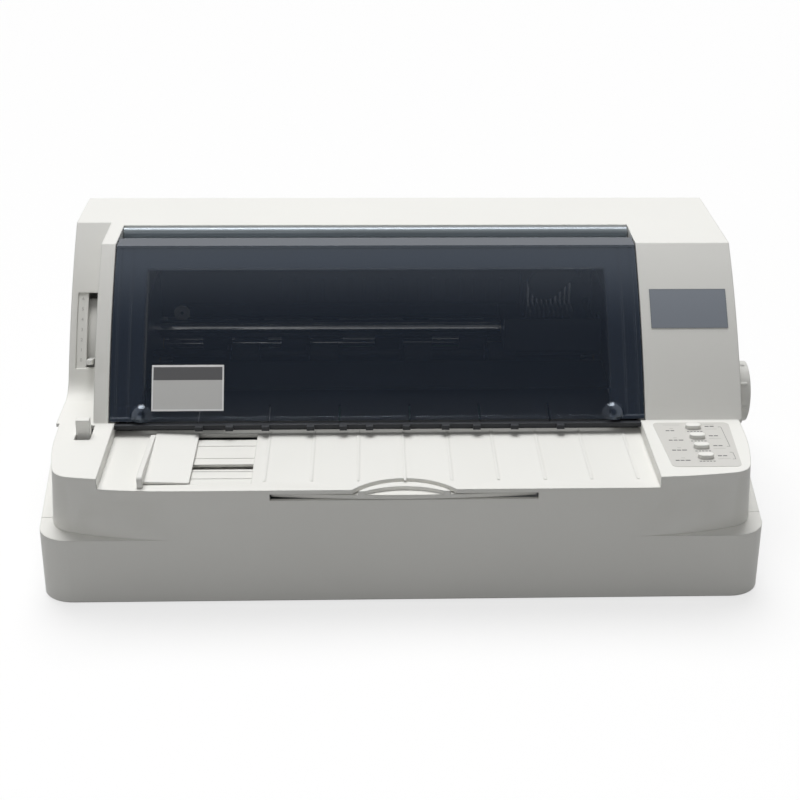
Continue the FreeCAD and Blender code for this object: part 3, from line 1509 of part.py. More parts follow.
def carriage():
    """The carriage with its front wall, rear shoe and belt clamp, and the bushes it slides on."""
    low, high = d.carriage_low, d.carriage_high
    bed = block("carriage_bed", CARRIAGE, (d.carriage_front, d.carriage_back), (low, high))
    front_y = (d.carriage_front, d.carriage_front + d.carriage_wall)
    front = block("carriage_front_wall", CARRIAGE, front_y, (low, d.carriage_wall_top))
    cheeks = [
        block(
            f"carriage_cheek_{side}",
            span,
            (d.carriage_front, d.fin_front - d.carriage_wall),
            (low, d.carriage_wall_top),
        )
        for side, span in (
            ("left", (CARRIAGE[0], CARRIAGE[0] + d.carriage_wall)),
            ("right", (CARRIAGE[1] - d.carriage_wall, CARRIAGE[1])),
        )
    ]
    shoe_x = (CARRIAGE_X - d.shoe_width / 2, CARRIAGE_X + d.shoe_width / 2)
    shoe_y = (d.rail_front + d.sheet, d.rail_back - d.sheet)
    shoe = block("carriage_shoe", shoe_x, shoe_y, (d.rail_top + d.seam, high))
    run_top = d.belt_z + d.pulley_radius + d.belt_thickness
    arm_z = (run_top + d.belt_gap, run_top + d.belt_gap + d.carriage_wall)
    arm_y = (d.carriage_back, d.belt_back + d.belt_gap + d.sheet)
    arm = block("belt_clamp", shoe_x, arm_y, arm_z)
    hook_y = (d.belt_back + d.belt_gap, d.belt_back + d.belt_gap + d.sheet)
    hook = block("belt_clamp_hook", shoe_x, hook_y, (run_top - d.belt_thickness * 2, arm_z[1]))
    bridge_z = (high - d.carriage_wall, arm_z[1])
    bridge = block("belt_bridge", shoe_x, (d.carriage_back - d.carriage_wall, d.carriage_back), bridge_z)
    post_y = (d.ribbon_front + d.wall, d.ribbon_back - d.wall)
    posts = [
        block(f"ribbon_post_{side}", span, post_y, (high - d.wall, d.ribbon_low))
        for side, span in (
            ("left", (ribbon_span()[0], ribbon_span()[0] + d.wall)),
            ("right", (CARRIAGE[1] - d.wall * 2, CARRIAGE[1] - d.wall)),
        )
    ]
    solid = fuse("carriage_solid", bed, front, *cheeks, shoe, arm, hook, bridge, *posts)
    bush_outer = d.guide_radius + d.running_gap + d.carriage_bush_wall
    tunnel = rod("carriage_tunnel", "x", bush_outer, GUIDE, (CARRIAGE[0] - d.wall, CARRIAGE[1] + d.wall))
    head_x = (CARRIAGE_X - d.head_width / 2, CARRIAGE_X + d.head_width / 2)
    well = block("head_well", head_x, (d.head_front, d.head_back), (low - d.wall, high + d.wall))
    keep(cut("carriage_shape", solid, tunnel, well), "carriage")
    bush_spans = (
        ("left", (CARRIAGE[0], CARRIAGE[0] + d.carriage_bush_length)),
        ("right", (CARRIAGE[1] - d.carriage_bush_length, CARRIAGE[1])),
    )
    made = [
        tube(f"carriage_bush_{side}", "x", bush_outer, d.guide_radius + d.running_gap, GUIDE, span)
        for side, span in bush_spans
    ]
    keep(group("carriage_bush_pair", made), "carriage_bushes")


def print_head():
    """The print head with its nose over the platen, and the finned heat sink in front."""
    x = (CARRIAGE_X - d.head_width / 2, CARRIAGE_X + d.head_width / 2)
    nose_x = (CARRIAGE_X - d.nose_width / 2, CARRIAGE_X + d.nose_width / 2)
    body = block("head_body", x, (d.head_front, d.head_back), (d.carriage_low, d.head_top))
    nose = block(
        "head_nose", nose_x, (d.nose_front, d.nose_back), (PAPER + d.nose_gap, d.carriage_low)
    )
    keep(fuse("head_shape", body, nose), "print_head")
    web = block(
        "fin_web", x, (d.fin_front, d.head_front), (d.carriage_high, d.fin_low + d.fin_web)
    )
    fins = []
    for n in range(FIN_COUNT):
        start = x[0] + (d.head_width - d.fin_thickness) * (n / (FIN_COUNT - 1))
        outline = [
            (d.fin_front, d.fin_low),
            (d.fin_back, d.fin_low),
            (d.fin_back, d.fin_back_high),
            (d.fin_step, d.fin_back_high),
            (d.fin_step, d.fin_high),
            (d.fin_front, d.fin_high),
        ]
        fins.append(prism(f"fin_{n}", "YZ", outline, (start, start + d.fin_thickness)))
    keep(fuse("fin_shape", web, *fins), "head_heat_sink")


def ribbon():
    """The ribbon cartridge on the carriage, its curved arm, and its winding knob."""
    case_y = (d.ribbon_front + d.seam, d.ribbon_back)
    case = block("ribbon_case", ribbon_span(), case_y, (d.ribbon_low, d.ribbon_high))
    big = (CARRIAGE_X - d.arm_offset, d.arm_centre)
    small = (big[0] + d.arm_run, big[1] + d.arm_rise)
    arm_y = (d.arm_front, d.arm_back)
    bridge_x = (big[0], big[0] + d.arm_run)
    bridge_z = (d.arm_centre, d.arm_centre + d.arm_bridge)
    bridge = block("ribbon_bridge", bridge_x, (d.arm_front, case_y[0] + d.wall), bridge_z)
    neck = block("ribbon_neck", bridge_x, (case_y[0], case_y[0] + d.wall), (d.ribbon_low, bridge_z[1]))
    length = diagonal(d.arm_run, d.arm_rise)
    step = d.arm_big_radius - d.arm_small_radius
    along = (d.arm_run / length, d.arm_rise / length)
    lean = step / length
    flat = other_side(length, step) / length
    up = (-along[1] * flat + along[0] * lean, along[0] * flat + along[1] * lean)
    down = (along[1] * flat + along[0] * lean, -along[0] * flat + along[1] * lean)
    ends = [
        tuple(c + radius * w for c, w in zip(centre, way))
        for centre, radius, way in (
            (big, d.arm_big_radius, down),
            (small, d.arm_small_radius, down),
            (small, d.arm_small_radius, up),
            (big, d.arm_big_radius, up),
        )
    ]
    blade = prism("ribbon_arm_blade", "XZ", ends, arm_y)
    arm = [
        bridge,
        neck,
        blade,
        rod("ribbon_arm_big", "y", d.arm_big_radius, big, arm_y),
        rod("ribbon_arm_small", "y", d.arm_small_radius, small, arm_y),
    ]
    solid = fuse("ribbon_solid", case, *arm)
    spindle = ribbon_spindle()
    bore_z = (d.ribbon_high - d.ribbon_knob_height, d.ribbon_high + d.wall)
    bore = rod("ribbon_bore", "z", d.ribbon_spindle_radius + d.running_gap, spindle, bore_z)
    keep(cut("ribbon_shape", solid, bore), "ribbon_cartridge")
    knob_z = (d.ribbon_high + d.seam, d.ribbon_high + d.ribbon_knob_height)
    cap = rod("ribbon_knob_cap", "z", d.ribbon_knob_radius, spindle, knob_z)
    stem_z = (bore_z[0] + d.seam, knob_z[1])
    stem = rod("ribbon_knob_stem", "z", d.ribbon_spindle_radius, spindle, stem_z)
    keep(fuse("ribbon_knob_shape", cap, stem), "ribbon_knob")


def ribbon_span():
    """Left and right sides of the ribbon cartridge."""
    return (CARRIAGE_X - d.head_width / 2 - d.wall - d.seam, CARRIAGE[1] - d.wall)


def ribbon_spindle():
    """Centre of the ribbon knob, in X and Y."""
    x = CARRIAGE[1] - d.wall - d.ribbon_knob_radius * 2
    return (x, (d.ribbon_front + d.ribbon_back) / 2)


def belt_drive():
    """The carriage motor, its pulley, the idler pulley and the belt around them."""
    motor = (d.motor_pulley_x, d.belt_z)
    idler = (-d.idler_pulley_x, d.belt_z)
    belt_y = (d.belt_front, d.belt_back)
    rim = (belt_y[0] - d.pulley_flange, belt_y[0])
    case_y = (d.guide_wall_back, d.guide_wall_back + d.carriage_motor_length)
    case = rod("carriage_motor_case", "y", d.carriage_motor_radius, motor, case_y)
    bore = rod(
        "carriage_motor_bore",
        "y",
        d.rotor_radius + d.running_gap,
        motor,
        (case_y[0] - d.wall, case_y[1] - d.wall),
    )
    keep(cut("carriage_motor_shape", case, bore), "carriage_motor")
    radius = d.pulley_radius - d.running_gap
    rotor = rod("carriage_rotor", "y", d.rotor_radius, motor, (belt_y[1], case_y[1] - d.wall * 2))
    wheel = rod("motor_pulley_wheel", "y", radius, motor, belt_y)
    collar = rod("motor_pulley_rim", "y", d.pulley_flange_radius, motor, rim)
    keep(fuse("motor_pulley_shape", wheel, collar, rotor), "motor_pulley")
    bore_radius = d.rotor_radius + d.running_gap
    idler_wheel = tube("idler_pulley_wheel", "y", radius, bore_radius, idler, belt_y)
    idler_rim = tube("idler_pulley_rim", "y", d.pulley_flange_radius, bore_radius, idler, rim)
    keep(fuse("idler_pulley_shape", idler_wheel, idler_rim), "idler_pulley")
    outside = belt_loop("belt_outside", d.pulley_radius + d.belt_thickness, idler, motor, belt_y)
    wide = (belt_y[0] - d.wall, belt_y[1] + d.wall)
    inside = belt_loop("belt_inside", d.pulley_radius, idler, motor, wide)
    keep(cut("belt_shape", outside, inside), "drive_belt")


def belt_loop(name, radius, left, right, span):
    """A straight-sided loop around two centres."""
    z = left[1]
    corners = [
        (left[0], z - radius),
        (right[0], z - radius, radius),
        (right[0] + radius, z, radius),
        (right[0], z + radius),
        (left[0], z + radius, radius),
        (left[0] - radius, z, radius),
    ]
    return prism(name, "XZ", corners, span)


def gap_lever_span():
    half = d.gap_lever_thickness / 2
    return (-d.gap_lever_x - half, -d.gap_lever_x + half)


def gap_lever():
    """The paper thickness lever: a hub on its pin and an arm that ends outside the left tower."""
    span = gap_lever_span()
    body = DOC.addObject("PartDesign::Body", "gap_lever_arm")
    sketch = sketch_on(body, "gap_lever_sketch", "YZ", 0)
    half = d.gap_lever_height / 2
    draw_outline(
        sketch,
        [(0, -half), (d.gap_lever_tip, -half / 2), (d.gap_lever_tip, half / 2), (0, half)],
    )
    pad = body.newObject("PartDesign::Pad", "gap_lever_pad")
    pad.Profile = sketch
    bind(pad, "Length", d.gap_lever_thickness)
    body.Placement.Rotation = Rotation(Vector(1, 0, 0), GAP_LEVER_REST)
    bind(body, "Placement.Base.x", span[0])
    bind(body, "Placement.Base.y", d.gap_pivot_y)
    bind(body, "Placement.Base.z", d.gap_pivot_z)
    hub = rod("gap_lever_hub", "x", d.gap_hub_radius, GAP_PIVOT, span)
    bore = rod(
        "gap_lever_bore",
        "x",
        d.gap_pin_radius + d.running_gap,
        GAP_PIVOT,
        (span[0] - d.wall, span[1] + d.wall),
    )
    keep(cut("gap_lever_shape", fuse("gap_lever_solid", body, hub), bore), "paper_thickness_lever")


def feed_lever():
    """The lever in the left deck that sets sheet or continuous feed."""
    span = feed_lever_span(0)
    pivot = (-d.feed_lever_y, d.feed_lever_pivot)
    half = d.feed_lever_depth / 2
    y = (pivot[0] - half, pivot[0] + half)
    arm = block("feed_lever_arm", span, y, (d.feed_lever_pivot, d.feed_lever_top))
    hub = rod("feed_lever_hub", "x", d.feed_hub_radius, pivot, span)
    bore = rod(
        "feed_lever_bore",
        "x",
        d.feed_pin_radius + d.running_gap,
        pivot,
        (span[0] - d.wall, span[1] + d.wall),
    )
    keep(cut("feed_lever_shape", fuse("feed_lever_solid", arm, hub), bore), "feed_lever")


def edge_guide():
    """The sliding edge guide: fence, sloping plate, and a leg in each track slot."""
    low = TABLE + d.slide_gap
    plate_x = (-d.guide_plate_left, -d.guide_plate_right)
    plate = prism(
        "guide_plate",
        "XZ",
        [(plate_x[0], low), (plate_x[1], low), (plate_x[1], low + d.guide_plate_edge)]
        + [(plate_x[0], low + d.guide_plate_height)],
        guide_plate_y(),
    )
    fence_x = (plate_x[0] - d.fence_width, plate_x[0])
    front = FRONT + d.fence_setback
    nose, top = front + d.fence_nose, TABLE + d.fence_height
    fence = prism(
        "fence",
        "YZ",
        [(front, low), (-d.fence_back, low), (-d.fence_back, TABLE + d.fence_back_height)]
        + [(nose + d.fence_nose * 3, top), (nose, top, d.fence_nose), (front, top - d.fence_nose)],
        fence_x,
    )
    legs = []
    leg_x = (plate_x[0] + d.slide_gap, plate_x[0] + d.slide_gap + d.guide_leg)
    for n, place in enumerate(track_places()):
        y = (place - d.guide_leg_depth / 2, place + d.guide_leg_depth / 2)
        legs.append(block(f"guide_leg_{n}", leg_x, y, (TABLE - d.guide_leg_drop, low)))
    keep(fuse("edge_guide_shape", plate, fence, *legs), "edge_guide")


def tray():
    """The extension tray in the front slot, with a scooped grip in the table's cut-out."""
    front = FRONT
    half = d.tray_half
    arc = (half * half + d.tray_bulge * d.tray_bulge) / (d.tray_bulge * 2)
    corners = [
        (-half, -d.tray_back),
        (-half, front + d.tray_bulge, arc),
        (half, front + d.tray_bulge),
        (half, -d.tray_back),
    ]
    slab = prism("tray_slab", "XY", corners, (d.tray_low, d.tray_high))
    centre = (0, cutout_centre())
    grip_radius = cutout_radius() - d.tray_grip_gap
    pillar = rod("tray_grip_round", "z", grip_radius, centre, (d.tray_low, d.tray_grip_top))
    ahead = prism("tray_grip_area", "XY", corners, (d.tray_low, d.tray_grip_top))
    scoop_y = FRONT + d.cutout_depth - d.tray_grip_gap - d.tray_scoop_depth - d.tray_scoop_radius
    scoop = rod(
        "tray_scoop", "z", d.tray_scoop_radius, (0, scoop_y), (d.tray_high, d.tray_grip_top + d.wall)
    )
    grip = cut("tray_grip", common("tray_grip_solid", pillar, ahead), scoop)
    keep(fuse("tray_shape", slab, grip), "extension_tray")


def overlay_y():
    return (FRONT + d.overlay_setback, -d.overlay_back)


def button_places():
    """Y of each button, spread over the overlay's depth from its back."""
    return spread(overlay_y(), even_shares(BUTTON_SPAN_SHARES, BUTTON_COUNT))


def button_prism(name, index, gap, heights):
    """An oval prism at one button's place, wider by a gap all round."""
    y = button_places()[index]
    radius = d.button_depth / 2 + gap
    reach = d.button_width / 2 - d.button_depth / 2
    corners = [
        (d.button_x - reach, y - radius),
        (d.button_x + reach, y - radius, radius),
        (d.button_x + reach + radius, y, radius),
        (d.button_x + reach, y + radius),
        (d.button_x - reach, y + radius, radius),
        (d.button_x - reach - radius, y, radius),
    ]
    return prism(name, "XY", corners, heights)


def buttons():
    """Four oval buttons, each with a flange below the deck and a stem to its switch."""
    flange_top = d.deck_top - d.wall - d.slide_gap
    flange = (flange_top - d.button_flange, flange_top)
    for n, y in enumerate(button_places()):
        cap = button_prism(f"button_cap_{n}", n, 0, (flange[0], d.deck_top + d.button_proud))
        collar = button_prism(f"button_collar_{n}", n, d.button_gap * 2, flange)
        stem = rod(
            f"button_stem_{n}",
            "z",
            d.button_stem,
            (d.button_x, y),
            (d.deck_top - d.button_drop, flange[0]),
        )
        keep(fuse(f"button_shape_{n}", cap, collar, stem), f"panel_button_{n + 1}")


def panel_board_y():
    return (FRONT + d.panel_board_setback, -d.panel_board_back)


def panel():
    """The control panel's overlay on the deck, and the board with four switches below it."""
    corner = d.overlay_corner
    left, right = d.overlay_left, d.overlay_right
    near_left, near_right = d.overlay_front_left, d.overlay_front_right
    front, back = overlay_y()
    corners = [
        (near_left, front + corner, corner),
        (near_left + corner, front),
        (near_right - corner, front, corner),
        (near_right, front + corner),
        (right, back - corner, corner),
        (right - corner, back),
        (left + corner, back, corner),
        (left, back - corner),
    ]
    heights = (d.deck_top, d.deck_top + d.film)
    sheet = prism("overlay_sheet", "XY", corners, heights)
    holes = [
        button_prism(f"overlay_hole_{n}", n, d.button_gap, (d.deck_top - d.wall, heights[1] + d.wall))
        for n in range(BUTTON_COUNT)
    ]
    keep(cut("overlay", sheet, *holes), "panel_overlay")
    board_low = d.deck_top - d.panel_board_drop
    board_top = board_low + d.board_thickness
    board = block(
        "panel_board_sheet",
        (d.panel_board_left, d.panel_board_right),
        panel_board_y(),
        (board_low, board_top),
    )
    half = d.tact_size / 2
    switches = []
    for n, y in enumerate(button_places()):
        span_x = (d.button_x - half, d.button_x + half)
        heights = (board_low, board_top + d.tact_height - d.board_thickness)
        switches.append(block(f"tact_{n}", span_x, (y - half, y + half), heights))
    keep(fuse("panel_board_shape", board, *switches), "panel_board")


def electronics():
    """The power supply and the main board on the chassis, and the rear sockets."""
    x = (-d.supply_left, -d.supply_right)
    z = (CHASSIS_TOP, CHASSIS_TOP + d.supply_height)
    keep(block("supply", x, (d.supply_front, d.supply_back), z), "power_supply")
    board_z = (CHASSIS_TOP + d.board_rise, CHASSIS_TOP + d.board_rise + d.board_thickness)
    x = (-d.board_left, d.board_right)
    y = (d.board_front, REAR - d.board_rear_gap)
    parts = [block("board", x, y, board_z)]
    for n, place in enumerate(board_posts(x, y)):
        parts.append(rod(f"board_post_{n}", "z", d.post_radius, place, (CHASSIS_TOP, board_z[1])))
    chip_y = (y[0] + d.chip_height * 4, y[0] + d.chip_height * 10)
    chip_z = (board_z[0], board_z[1] + d.chip_height)
    for n, middle in enumerate(spread(x, CHIP_PLACE_SHARES)):
        span = (middle - d.chip_height * 2, middle + d.chip_height * 2)
        parts.append(block(f"chip_{n}", span, chip_y, chip_z))
    keep(fuse("board_shape", *parts), "main_board")
    gap = d.seam
    sockets = []
    for n, (left, right) in enumerate(socket_spans()):
        shell_y = (y[1] - d.wall, BACK)
        shell_z = (d.socket_low + gap, d.socket_high - gap)
        shell = block(f"socket_{n}", (left + gap, right - gap), shell_y, shell_z)
        cavity = block(
            f"socket_cavity_{n}",
            (left + d.wall, right - d.wall),
            (REAR - d.wall, BACK + d.wall),
            (d.socket_low + d.wall, d.socket_high - d.wall),
        )
        sockets.append(cut(f"socket_shape_{n}", shell, cavity))
    keep(group("sockets", sockets), "interface_sockets")


def board_posts(x, y):
    """Feet of the main board, where they stand on the chassis plate."""
    inset = d.post_radius * 2
    back = d.frame_back - inset
    return [(a, b) for a in (x[0] + inset, x[1] - inset) for b in (y[0] + inset, back)]


def rocker_centre():
    x = INLET[1] - d.wall - d.rocker_width / 2 - d.rocker_gap
    return (x, (d.inlet_low + d.inlet_high) / 2)


def power_inlet():
    """The mains inlet with the power switch's cavity, and the rocker in it."""
    gap = d.seam
    x = (INLET[0] + gap, INLET[1] - gap)
    z = (d.inlet_low + gap, d.inlet_high - gap)
    solid = block("inlet_block", x, (REAR - d.inlet_depth, BACK), z)
    middle = rocker_centre()
    socket_x = (x[0] + d.wall, x[0] + d.wall + d.inlet_socket_width)
    half = d.inlet_socket_height / 2
    socket = block(
        "inlet_socket",
        socket_x,
        (REAR - d.inlet_depth + d.wall, BACK + d.wall),
        (middle[1] - half, middle[1] + half),
    )
    half_x = d.rocker_width / 2 + d.rocker_gap
    half_z = d.rocker_height / 2 + d.rocker_gap
    cavity = block(
        "rocker_cavity",
        (middle[0] - half_x, middle[0] + half_x),
        (REAR - d.inlet_depth + d.wall, BACK + d.wall),
        (middle[1] - half_z, middle[1] + half_z),
    )
    pin = rod(
        "rocker_pin",
        "x",
        d.rocker_pin_radius,
        (rocker_pivot_y(), middle[1]),
        (middle[0] - half_x, middle[0] + half_x),
    )
    keep(fuse("inlet_shape", cut("inlet_cut", solid, socket, cavity), pin), "power_inlet")
    span = (middle[0] - d.rocker_width / 2, middle[0] + d.rocker_width / 2)
    half = d.rocker_height / 2
    face = BACK - d.rear_fitting / 2
    corners = [
        (rocker_pivot_y() - d.rocker_pin_radius * 2, middle[1] - half / 2),
        (face - d.rear_fitting, middle[1] - half),
        (face, middle[1] - half),
        (face - d.rear_fitting, middle[1]),
        (face - d.rear_fitting, middle[1] + half),
        (rocker_pivot_y() - d.rocker_pin_radius * 2, middle[1] + half / 2),
    ]
    rocker = prism("rocker_solid", "YZ", corners, span)
    bore = rod(
        "rocker_bore",
        "x",
        d.rocker_pin_radius + d.running_gap,
        (rocker_pivot_y(), middle[1]),
        (span[0] - d.wall, span[1] + d.wall),
    )
    keep(cut("rocker_shape", rocker, bore), "power_rocker")


def rocker_pivot_y():
    return BACK - d.rear_fitting * 2 - d.rocker_depth


def screws():
    """Four case screws in the rear wall."""
    made = []
    for n, place in enumerate(screw_places()):
        head = rod(f"screw_head_{n}", "y", d.screw_head_radius, place, (REAR, REAR + d.screw_head))
        shank = rod(f"screw_shank_{n}", "y", d.screw_radius, place, (REAR - d.wall * 2, REAR))
        made.append(fuse(f"screw_{n}", head, shank))
    keep(group("screws", made), "case_screws")


def build():
    base_case()
    upper_case()
    feet()
    cover()
    name_plate()
    chassis()
    bushes()
    rollers()
    pinch_carrier()
    gears()
    feed_motor()
    knob()
    guide_shaft()
    rear_rail()
    rear_guide()
    slit_plate()
    upper_plate()
    paper_bar()
    carriage()
    print_head()
    ribbon()
    belt_drive()
    gap_lever()
    feed_lever()
    edge_guide()
    tray()
    buttons()
    panel()
    electronics()
    power_inlet()
    screws()


def check():
    """Stops if any object failed or any node is empty or not valid."""
    failed = [o.Name for o in DOC.Objects if {"Invalid", "Error"} & set(o.State)]
    failed += [o.Label for o in NODES if o.Shape.isNull() or not o.Shape.isValid()]
    if failed:
        raise RuntimeError(f"not built: {failed}")


build()
DOC.recompute()
check()
os.makedirs("parts", exist_ok=True)
for node in NODES:
    node.Shape.exportStep(f"parts/{node.Label}.step")
print(f"{len(NODES)} nodes")
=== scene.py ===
import json
import math

import bpy
from mathutils import Matrix, Vector


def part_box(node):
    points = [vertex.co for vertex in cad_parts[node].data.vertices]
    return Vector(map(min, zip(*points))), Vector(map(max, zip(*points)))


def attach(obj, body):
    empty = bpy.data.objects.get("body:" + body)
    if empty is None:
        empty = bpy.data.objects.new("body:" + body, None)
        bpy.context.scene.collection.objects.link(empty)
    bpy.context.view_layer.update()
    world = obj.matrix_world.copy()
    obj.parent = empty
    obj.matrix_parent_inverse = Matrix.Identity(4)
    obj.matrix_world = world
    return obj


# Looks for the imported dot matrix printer: materials, small printed details, floor, light and camera.
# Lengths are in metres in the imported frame: X to the right, -Y to the front, Z up.

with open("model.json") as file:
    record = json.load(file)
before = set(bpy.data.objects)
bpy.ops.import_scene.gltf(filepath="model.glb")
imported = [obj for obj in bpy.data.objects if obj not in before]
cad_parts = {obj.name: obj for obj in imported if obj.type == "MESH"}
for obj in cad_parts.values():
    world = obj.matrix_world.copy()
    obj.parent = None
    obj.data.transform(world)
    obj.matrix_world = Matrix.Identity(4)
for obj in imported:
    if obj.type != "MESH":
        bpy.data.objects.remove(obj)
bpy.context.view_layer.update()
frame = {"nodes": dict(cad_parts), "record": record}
MM = 0.001

# The flush seam between the front panel and the upper case. Edge softness is 0 up to the first
# distance from the middle and whole from the second on, within the reach above and below the seam.
SEAM_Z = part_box("front_panel")[1].z
SEAM_FLUSH_X = 175 * MM
SEAM_SWEPT_X = 235 * MM
SEAM_REACH = 4 * MM

# The clear window of the smoked cover with its soft edge, and where its hinge tube and the highlight
# painted on it start.
CLEAR_X = (-222 * MM, 181 * MM)
CLEAR_Z = (0, 220.3 * MM)
CLEAR_SOFT = 1.5 * MM
TUBE_HIGHLIGHT_Y = (59.5 * MM, 62.5 * MM)

# How opaque the cover's border and window are, its two tones, its roughness, edges and glint.
BORDER_ALPHA = 0.86
WINDOW_ALPHA = 0.4
SMOKE_TONES = ((0.007, 0.014, 0.030), (0.012, 0.021, 0.042))
SMOKE_ROUGH = (0.05, 0.11)
SMOKE_BEVEL = 0.6 * MM
SMOKE_GLINT = (0.78, 0.88, 1.0)

# A paler colour painted on the tube as a highlight, and how much of it covers the smoked tone there.
TUBE_HIGHLIGHT_RGB = (0.44, 0.49, 0.52)
TUBE_HIGHLIGHT_SHARE = 0.85

# The shares of its roughness that a surface swings between with its grain.
ROUGH_SWING = (0.85, 1.15)

# Pale edges, partly wear and partly painted highlight: how pointed an edge is where they start and where
# they are whole, and how much paler they are.
WEAR_AND_HIGHLIGHT_POINTED = (0.505, 0.56)
WEAR_AND_HIGHLIGHT_PALER = 1.3

# The soft width of an edge that is meant to look sharp.
SHARP = 0.05 * MM

# The label's and the plate's borders, and the label's dark band.
LABEL_BORDER = 1.3 * MM
LABEL_BAND = 9.3 * MM
PLATE_BORDER = 0.7 * MM


def new_material(name):
    """A node material with its Principled shader, and a helper to add nodes."""
    material = bpy.data.materials.new(name)
    material.use_nodes = True
    tree = material.node_tree
    shader = tree.nodes["Principled BSDF"]

    def add(kind, **values):
        node = tree.nodes.new(kind)
        for key, value in values.items():
            if hasattr(node, key):
                setattr(node, key, value)
            else:
                node.inputs[key].default_value = value
        return node

    return material, tree, shader, add


def set_inputs(node, values):
    for key, value in values.items():
        node.inputs[key].default_value = value


def shade(rgb, factor):
    return tuple(min(1.0, c * factor) for c in rgb) + (1.0,)


def away_from_seam(add, link, coords, bevel):
    """Edge softness that fades out where the upper case stands flush on the front panel."""
    split = add("ShaderNodeSeparateXYZ")
    link(coords, split.inputs["Vector"])
    side = add("ShaderNodeMath", operation="ABSOLUTE")
    link(split.outputs["X"], side.inputs[0])
    spread = add("ShaderNodeMapRange")
    set_inputs(spread, {"From Min": SEAM_FLUSH_X, "From Max": SEAM_SWEPT_X})
    link(side.outputs[0], spread.inputs["Value"])
    level = add("ShaderNodeMath", operation="SUBTRACT")
    level.inputs[1].default_value = SEAM_Z
    link(split.outputs["Z"], level.inputs[0])
    away = add("ShaderNodeMath", operation="ABSOLUTE")
    link(level.outputs[0], away.inputs[0])
    above = add("ShaderNodeMath", operation="GREATER_THAN")
    above.inputs[1].default_value = SEAM_REACH
    link(away.outputs[0], above.inputs[0])
    either = add("ShaderNodeMath", operation="MAXIMUM")
    link(spread.outputs["Result"], either.inputs[0])
    link(above.outputs[0], either.inputs[1])
    radius = add("ShaderNodeMath", operation="MULTIPLY")
    radius.inputs[1].default_value = bevel * MM
    link(either.outputs[0], radius.inputs[0])
    return radius.outputs[0]


def surface(
    name, rgb, rough, grain=900, variation=0.03, bump=0.15, edge=0.0, bevel=0.8, flush_seam=False, **more
):
    """A surface with grain in colour, roughness and height, softened edges, and paler sharp edges that
    are partly wear and partly painted highlight.

    The bevel is in millimetres, and edge is the share of the paler colour on sharp edges, as wear and
    painted highlight.
    """
    material, tree, shader, add = new_material(name)
    link = tree.links.new
    coords = add("ShaderNodeTexCoord")
    fine = add("ShaderNodeTexNoise", Scale=grain, Detail=3.0, Roughness=0.6)
    broad = add("ShaderNodeTexNoise", Scale=9.0, Detail=2.0, Roughness=0.5)
    for noise in (fine, broad):
        link(coords.outputs["Object"], noise.inputs["Vector"])
    tone = add("ShaderNodeMix", data_type="RGBA")
    tone.inputs["A"].default_value = shade(rgb, 1 - variation)
    tone.inputs["B"].default_value = shade(rgb, 1 + variation)
    link(broad.outputs["Fac"], tone.inputs["Factor"])
    colour = tone.outputs["Result"]
    # Sharp edges are painted paler: partly wear, partly a painted highlight that brings out ribs, slits
    # and fins.
    if edge:
        geometry = add("ShaderNodeNewGeometry")
        ramp = add("ShaderNodeMapRange")
        set_inputs(ramp, {"From Min": WEAR_AND_HIGHLIGHT_POINTED[0], "From Max": WEAR_AND_HIGHLIGHT_POINTED[1], "To Max": edge})
        link(geometry.outputs["Pointiness"], ramp.inputs["Value"])
        wear_and_highlight = add("ShaderNodeMix", data_type="RGBA")
        wear_and_highlight.inputs["B"].default_value = shade(rgb, WEAR_AND_HIGHLIGHT_PALER)
        link(ramp.outputs["Result"], wear_and_highlight.inputs["Factor"])
        link(colour, wear_and_highlight.inputs["A"])
        colour = wear_and_highlight.outputs["Result"]
    link(colour, shader.inputs["Base Color"])
    gloss = add("ShaderNodeMapRange")
    set_inputs(gloss, {"To Min": rough * ROUGH_SWING[0], "To Max": rough * ROUGH_SWING[1]})
    link(fine.outputs["Fac"], gloss.inputs["Value"])
    link(gloss.outputs["Result"], shader.inputs["Roughness"])
    height = add("ShaderNodeBump", Strength=bump, Distance=0.0002)
    link(fine.outputs["Fac"], height.inputs["Height"])
    if bevel:
        soft = add("ShaderNodeBevel", samples=4)
        soft.inputs["Radius"].default_value = bevel * MM
        if flush_seam:
            link(away_from_seam(add, link, coords.outputs["Object"], bevel), soft.inputs["Radius"])
        link(soft.outputs["Normal"], height.inputs["Normal"])
    link(height.outputs["Normal"], shader.inputs["Normal"])
    set_inputs(shader, more)
    return material


